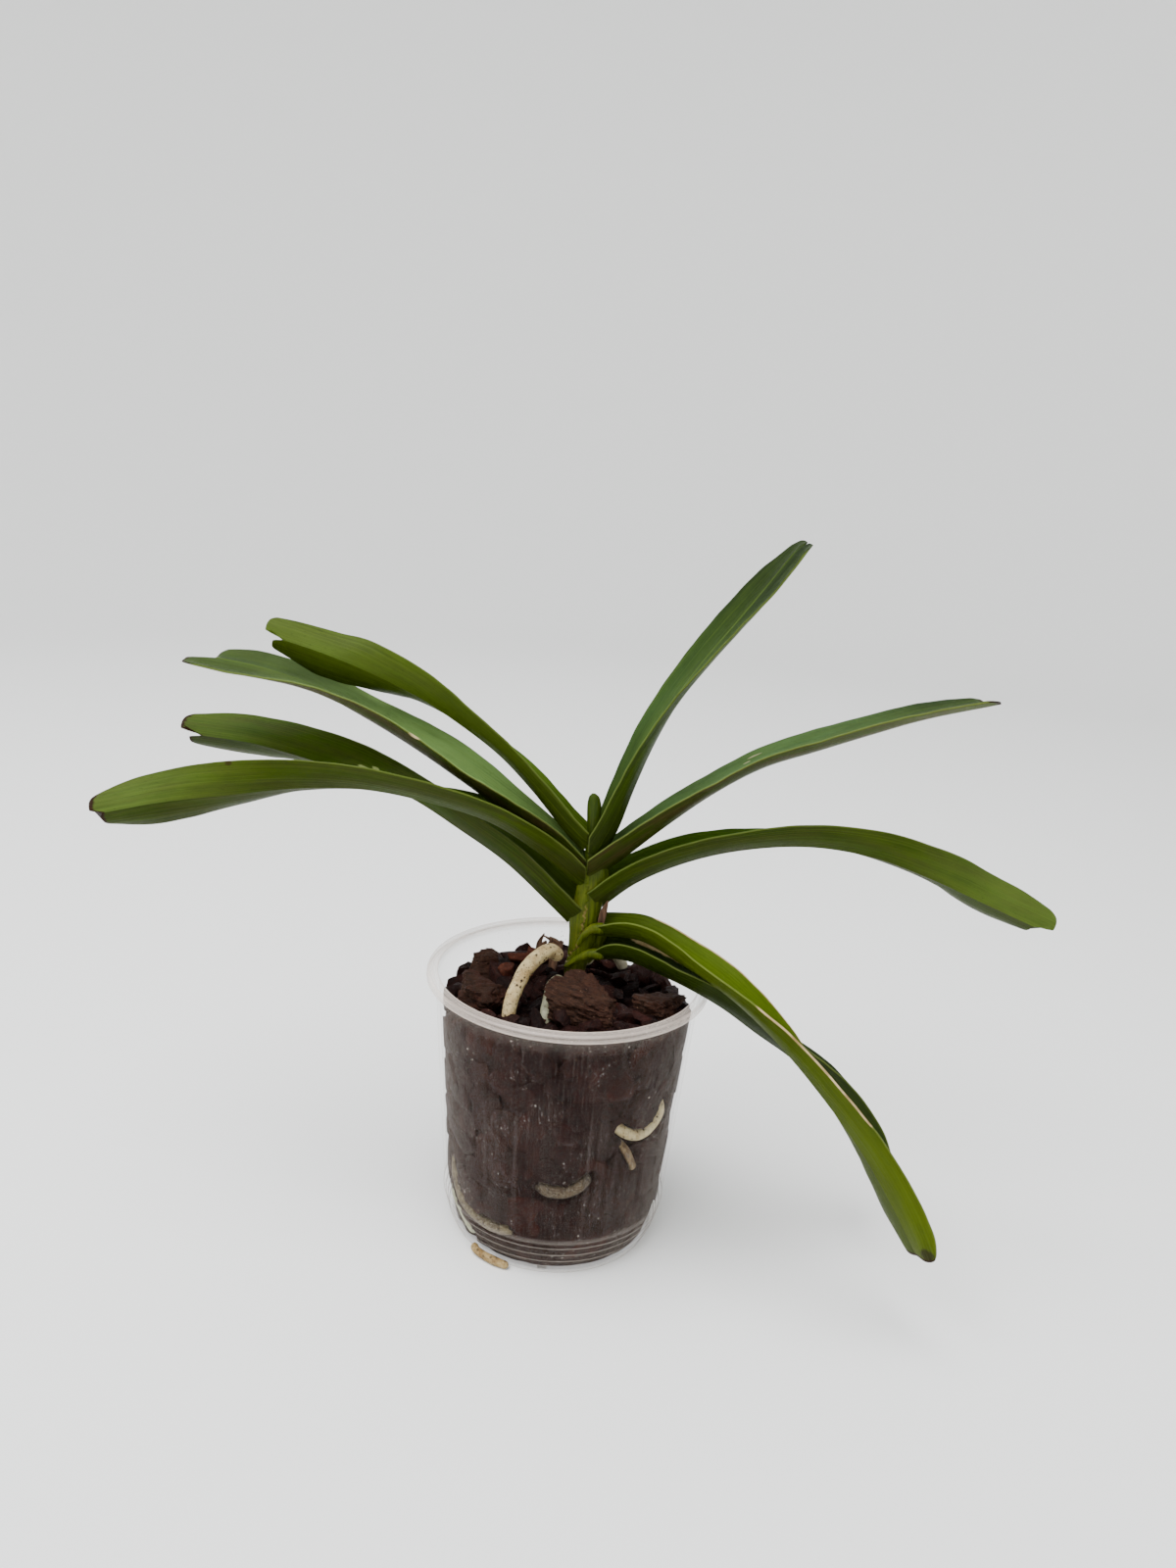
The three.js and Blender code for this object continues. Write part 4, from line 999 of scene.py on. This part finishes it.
def make_side_chips():
    """Chips seen through the wall, in rows round the pot, each turned its own way."""
    rng = random.Random(11)
    heap = Heap()
    for row, height in enumerate(np.linspace(SIDE_CHIPS_LOW, SIDE_CHIPS_HIGH, SIDE_CHIP_ROWS)):
        size = rng.uniform(5.0, 6.6)
        count = int(2 * math.pi * inner_wall(height) / (size * SIDE_CHIP_SPACING))
        for i in range(count):
            half = (size * rng.uniform(0.8, 1.35), size * rng.uniform(0.62, 1.1), rng.uniform(2.6, 4.2))
            chip = chip_form(rng, HEAP_CHIP_LEVEL, half, rng.choice((5, 6, 7)))
            angle = (i + 0.5 * (row % 2) + rng.uniform(-0.2, 0.2)) * 360 / count
            spun = turned_by(chip[0], rng.uniform(0, 360), rng.uniform(-16, 16), rng.uniform(-16, 16))
            outward = spun[:, [2, 0, 1]] + np.array([inner_wall(height) - rng.uniform(1.6, 3.0), 0, 0])
            placed = turned_by(outward, angle, 0) + np.array([0, 0, height + rng.uniform(-1.5, 1.5)])
            inset = CHIP_DEPTH_STEP * ((i * 5 + row * 3) % CHIP_DEPTH_STEPS)
            heap.add(placed, chip, 0.25 + 0.45 * rng.random(), rng.random() ** 2, inset)
    heap.piece("bark_side_chips", BARK_DARK)


def make_top_chips():
    """Small chips over the surface by the sunflower rule."""
    rng = random.Random(20)
    heap = Heap()
    for i in range(TOP_CHIPS):
        reach = (LIP_INNER_RADIUS - 5.5) * math.sqrt((i + 0.5) / TOP_CHIPS)
        angle = i * GOLDEN_ANGLE + rng.uniform(0, 0.4)
        height = BARK_LEVEL + rng.uniform(-0.6, 3.4)
        size = rng.uniform(2.6, 5.4)
        half = (size * rng.uniform(0.9, 1.3), size * rng.uniform(0.6, 1.0), size * rng.uniform(0.35, 0.6))
        chip = chip_form(rng, HEAP_CHIP_LEVEL, half, rng.choice((5, 6, 7)))
        spun = turned_by(chip[0], rng.uniform(0, 360), rng.uniform(-38, 38), rng.uniform(-25, 25))
        placed = spun + np.array([reach * math.cos(angle), reach * math.sin(angle), height])
        heap.add(placed, chip, rng.random(), rng.random() ** 2)
    heap.piece("bark_top_chips", BARK_DARK)


def make_small_chips():
    """Small reddish chips that stand up behind the arching root."""
    rng = random.Random(31)
    heap = Heap()
    for at, half, turn, lean in SMALL_CHIPS:
        chip = chip_form(rng, SMALL_CHIP_LEVEL, half, 6)
        heap.add(turned_by(chip[0], turn, lean) + np.array(at), chip, 0.8, 1.0)
    heap.piece("bark_small_chips", BARK_RED)


def make_loose_chip(name, at, half, turn, lean, seed, tone, red):
    level = FRONT_CHIP_LEVEL if name == "chip_front" else LOOSE_CHIP_LEVEL
    chip = chip_form(random.Random(seed), level, half, 8, bark=1.25)
    heap = Heap()
    heap.add(turned_by(chip[0], turn, lean, lean * 0.6) + np.array(at), chip, tone, red)
    heap.piece(name + "_bark", BARK_LIGHT, name, "bark_chip")


# Roots

def tube(path, radius_of, sides, steps, seed, roughness=0.05):
    """A knobbly tube with rounded ends. Gives places, faces and (along, around) notes in millimetres."""
    shares = np.linspace(0, 1, steps)
    middle, along = spline(path, shares)
    lengths = lengths_along(middle)
    side = unit(np.cross(along[0], (0.3, 0.2, 1.0)))
    offset = Vector((seed * 3.1, seed * 1.7, 0))
    places, notes = [], []
    for k in range(steps):
        side = unit(side - along[k] * (side @ along[k]))
        over = np.cross(along[k], side)
        end = min(lengths[k], lengths[-1] - lengths[k])
        radius = radius_of(shares[k])
        cap = math.sqrt(max(1 - (1 - min(end / radius, 1)) ** 2, 0.02))
        for x, y in circle(sides):
            way = (side * x + over * y) * radius
            knob = noise.fractal(Vector(middle[k] + way) * 0.45 + offset, 0.7, 2.0, 3)
            places.append(middle[k] + way * cap * (1 + roughness * knob))
            notes.append((lengths[k], radius * y, radius * x))
    return np.array(places), loop_faces(steps, sides), np.array(notes)


def root_material(name, skin, tint, specks):
    """Dry spongy root skin: cream-white, faintly green or tan, with brown specks."""
    s = Shader(name, roughness=0.75, specular_ior_level=0.3)
    local = s.note("local", "Vector")
    cloud = s.noise(local, 0.3, 4.0, 0.6)
    grain = s.noise(local, 2.2, 5.0, 0.7)
    spots = s.times(s.fall(s.cells(local, 0.62), 0.2, 0.32), s.rise(cloud, 0.36, 0.5))
    fine = s.times(s.fall(s.cells(local, 1.25), 0.22, 0.36), s.rise(grain, 0.45, 0.55))
    colour = s.layered(
        s.mix(s.rise(cloud, 0.35, 0.65), skin, tint),
        (s.rise(grain, 0.5, 0.75, 0.4), "#d9cfae"),
        (s.times(spots, specks), "#22130a"),
        (s.times(fine, specks * 0.85), "#2c1a0f"))
    return s.finish(colour, s.stretch(grain, 0.3, 0.7, 0.6, 0.85), ((cloud, 0.3), (grain, 0.12)))


def make_root(name, radius, path, looks):
    swell = random.Random(name).uniform(0, 6.28)

    def radius_of(share):
        return radius * (0.97 + 0.04 * math.sin(7 * share + swell) - 0.1 * max(0, share - 0.85) / 0.15)

    steps = int(lengths_along(np.array(path))[-1] * ROOT_STEPS_PER_MM)
    places, faces, notes = tube(path, radius_of, ROOT_SIDES, steps, len(name))
    make_piece(name + "_velamen", places, faces, root_material(name + "_skin", *looks),
               PART_OF.get(name, name), 60, {"local": notes})


# Stem, young leaf and dead sheaths

def stem_material():
    s = Shader("stem_skin", roughness=0.45, specular_ior_level=0.1)
    place = s.node("TexCoord", "Object")
    height = s.split(place)[2]
    ribs = s.noise(place, (1500, 1500, 45))
    cloud = s.noise(place, 190.0, 4.0)
    dry = s.rise(s.shaken(s.note("rim"), cloud, 1.3), 0.45, 0.75)
    colour = s.layered(
        s.mix(s.rise(ribs, 0.3, 0.7), "#293203", "#495406"),
        (s.rise(cloud, 0.5, 0.7, 0.5), "#5f5f1c"),
        (s.rise(height, 0.112, 0.13, 0.7), "#22340a"),
        (s.fall(height, 0.08, 0.09, 0.75), "#2a1c0f"),
        (s.times(dry, 0.6), s.mix(ribs, "#94804c", "#54401f")))
    return s.finish(colour, bumps=((ribs, 0.14), (cloud, 0.1)))


def oval_column(levels, depth, sides, steps):
    """A smooth, faintly ribbed upright body through oval levels at one depth."""
    shares = np.linspace(0, 1, steps)
    middle, _ = spline([(x, depth, z) for x, z, _, _ in levels], shares)
    wide, deep = (eased([level[k] for level in levels], shares) for k in (2, 3))
    places = []
    for k in range(steps):
        for i, (x, y) in enumerate(circle(sides)):
            rib = 1 + 0.012 * math.sin(2 * math.pi * i / sides * 11)
            places.append(middle[k] + np.array([wide[k] * x, deep[k] * y, 0]) * rib)
    return np.array(places), loop_faces(steps, sides)


def ridge(values, width):
    """1 where the values pass 0, falling off to both sides."""
    return np.exp(-(values / width) ** 2)


def make_stem(material):
    """The stem in its clasping sheaths: a step and a dry rim where one ends over the next."""
    places, faces = oval_column(STEM_LEVELS, PLANT_DEPTH, 128, 230)
    x, y, z = places.T
    front = smooth_step((PLANT_DEPTH + 1.5 - y) / 2.5)
    wobble = 0.25 * np.sin(z * 1.9) + 0.18 * np.sin(z * 4.3 + 1)
    left = np.interp(z, *zip(*LEFT_SHEATH_EDGE)) + wobble - x
    right = np.interp(x, *zip(*RIGHT_SHEATH_EDGE)) + 0.3 * np.sin(x * 3.1) - z
    low = np.interp(x, *zip(*LOW_SHEATH_EDGE)) + 0.3 * np.sin(x * 2.7) - z
    beside = smooth_step(-left / 0.4)
    steps = smooth_step(left / 0.3) * 1.1 + beside * (smooth_step(right / 0.4) + smooth_step(low / 0.4))
    left_rim = ridge(left - 0.1, 0.34) * smooth_step((z - 86) / 3) * smooth_step((111 - z) / 4)
    rim = np.maximum(left_rim, beside * np.maximum(ridge(right - 0.15, 0.4), ridge(low - 0.15, 0.4)))
    across, heights, _, _ = zip(*STEM_LEVELS)
    middle = np.stack([np.interp(z, heights, across), np.full_like(z, PLANT_DEPTH), z], axis=-1)
    places = places + unit(places - middle) * (SHEATH_STEP * steps * front)[:, None]
    make_piece("stem_sheaths", places, faces, material, "stem", 60, {"rim": rim * front})


def make_young_leaf(material):
    places, faces = oval_column(YOUNG_LEVELS, PLANT_DEPTH - 0.2, 40, 60)
    make_piece("leaf_young_tip", places, faces, material, "leaf_young", 60,
               {"rim": np.zeros(len(places))})


def make_clasps(material):
    """The narrow feet by which the lowest right leaves come round the stem."""
    for number, (path, start, end) in enumerate(CLASPS, 1):
        places, faces, _ = tube(path, lambda share: start + (end - start) * share, 20, 48, number, 0.02)
        make_piece(f"stem_clasp_{number}", places, faces, material, "stem", 60,
                   {"rim": np.zeros(len(places))})


def dry_material():
    s = Shader("dry_sheath_skin", roughness=0.8, specular_ior_level=0.25)
    fibre = s.noise(s.node("TexCoord", "Object"), (1500, 1500, 120), 4.0)
    return s.finish(s.mix(s.rise(fibre, 0.3, 0.7), "#24150d", "#684b37"), bumps=((fibre, 0.2),))


def make_scrap(material, node, ending, path, widths, across, thickness, curl):
    """A thin curled scrap of a dead sheath along a path."""
    middle, along = spline(path, np.linspace(0, 1, SCRAP_STEPS))
    wide = eased(widths, np.linspace(0, 1, SCRAP_STEPS)) / 2
    side = unit(np.array(across, float) + 0 * along)
    side = unit(side - along * (side * along).sum(axis=1)[:, None])
    out = np.cross(side, along)
    places = []
    for k in range(SCRAP_STEPS):
        lower = [middle[k] + side[k] * wide[k] * t + out[k] * curl * wide[k] * t * t
                 for t in np.linspace(-1, 1, SCRAP_POINTS)]
        places += lower + [p + out[k] * thickness for p in reversed(lower)]
    faces = loop_faces(SCRAP_STEPS, 2 * SCRAP_POINTS)
    make_piece(f"{node}_{ending}", places, faces, material, node, 50)


def make_dry_sheaths(material):
    """What is left of dead sheaths: a scrap on each side of the stem, and curled shreds at its left foot."""
    make_scrap(material, "dry_sheath_right", "scrap", [(9.1, 7.1, 102.3), (9.7, 6.9, 106), (10.8, 6.6, 110)],
               [2.0, 2.2, 0.5], (1, 0, -0.3), 0.7, 0.1)
    rng = random.Random(7)
    for number in range(SHREDS):
        foot = np.array((-3.4 - 1.3 * number, 10.4 + 0.5 * number, 88.4 - 0.4 * number))
        middle = foot + (rng.uniform(-2.0, 0.8), rng.uniform(-0.6, 0.6), rng.uniform(3.2, 5.0))
        end = middle + (rng.uniform(-3.0, 3.0), rng.uniform(-0.8, 0.8), rng.uniform(1.0, 3.6))
        make_scrap(material, "dry_sheath_left", f"shred_{number}", [foot, middle, end],
                   [2.6, rng.uniform(1.6, 2.6), 0.4], (1, rng.uniform(-1, 1), 0.2), 0.35,
                   rng.uniform(-0.9, 0.9))
    make_scrap(material, "dry_sheath_left", "scrap", [(-5, 9.4, 84), (-4, 9.8, 89), (-2.6, 10, 93.5)],
               [3.2, 3.4, 1.4], (0.8, -0.6, 0), 0.5, 0.5)


# Surroundings

def make_stage():
    """A round pale floor that turns up into a pale wall far behind."""
    outline = [(FLOOR_RADIUS, 0.0)]
    for step in range(1, FLOOR_BEND_STEPS + 1):
        turn = math.radians(90 * step / FLOOR_BEND_STEPS)
        outline.append((FLOOR_RADIUS + FLOOR_BEND * math.sin(turn), FLOOR_BEND * (1 - math.cos(turn))))
    outline.append((FLOOR_RADIUS + FLOOR_BEND, BACKDROP_HEIGHT))
    ring = circle(FLOOR_SIDES)
    places = [(0, 0, 0)]
    places += [(radius * x, radius * y, height) for radius, height in outline for x, y in ring]
    faces = [(0, 1 + i, 1 + (i + 1) % FLOOR_SIDES) for i in range(FLOOR_SIDES)]
    faces += [tuple(reversed(quad)) for quad in ring_quads(len(outline), FLOOR_SIDES, first=1)]
    paint = Shader("floor_paint", base_color="#efefed", roughness=0.75, specular_ior_level=0.2).material
    add_object("floor", smooth_mesh("floor", places, faces, paint))


def add_light(name, place, size, power, colour):
    """A round soft light that looks at the plant."""
    data = bpy.data.lights.new(name, "AREA")
    data.shape = "DISK"
    data.size = size
    data.energy = power
    data.color = colour
    light = add_object(name, data)
    light.location = place
    light.rotation_euler = (Vector((0, 0, 0.1)) - Vector(place)).to_track_quat("-Z", "Y").to_euler()


def make_lights():
    add_light("sky_soft", (-0.35, -0.3, 1.35), 1.3, 40.0, (0.97, 0.98, 1.0))
    add_light("front_fill", (0.3, -1.3, 0.7), 1.0, 1.5, (1.0, 0.98, 0.95))
    world = bpy.data.worlds.new("studio")
    world.use_nodes = True
    background = world.node_tree.nodes["Background"]
    background.inputs["Color"].default_value = (0.95, 0.97, 1.0, 1.0)
    background.inputs["Strength"].default_value = 0.85
    bpy.context.scene.world = world


def make_camera():
    forward = Vector(CAMERA_FORWARD).normalized()
    level = forward.cross(Vector((0, 0, 1))).normalized()
    right = Matrix.Rotation(math.radians(-CAMERA_ROLL), 3, forward) @ level
    rotation = Matrix((right, right.cross(forward), -forward)).transposed()
    data = bpy.data.cameras.new("camera")
    data.lens = CAMERA_LENS
    data.sensor_width = SENSOR_WIDTH
    data.clip_start = 0.01
    camera = add_object("camera", data)
    camera.matrix_world = Matrix.Translation(Vector(CAMERA_PLACE) * MM) @ rotation.to_4x4()
    bpy.context.scene.camera = camera


make_camera()
make_stage()
make_lights()
for leaf in LEAVES:
    make_leaf(leaf)
make_pot()
make_bark_core()
make_side_chips()
make_top_chips()
make_small_chips()
for chip in LOOSE_CHIPS:
    make_loose_chip(*chip)
for root in root_paths():
    make_root(*root)
stem_skin = stem_material()
make_stem(stem_skin)
make_young_leaf(stem_skin)
make_clasps(stem_skin)
make_dry_sheaths(dry_material())
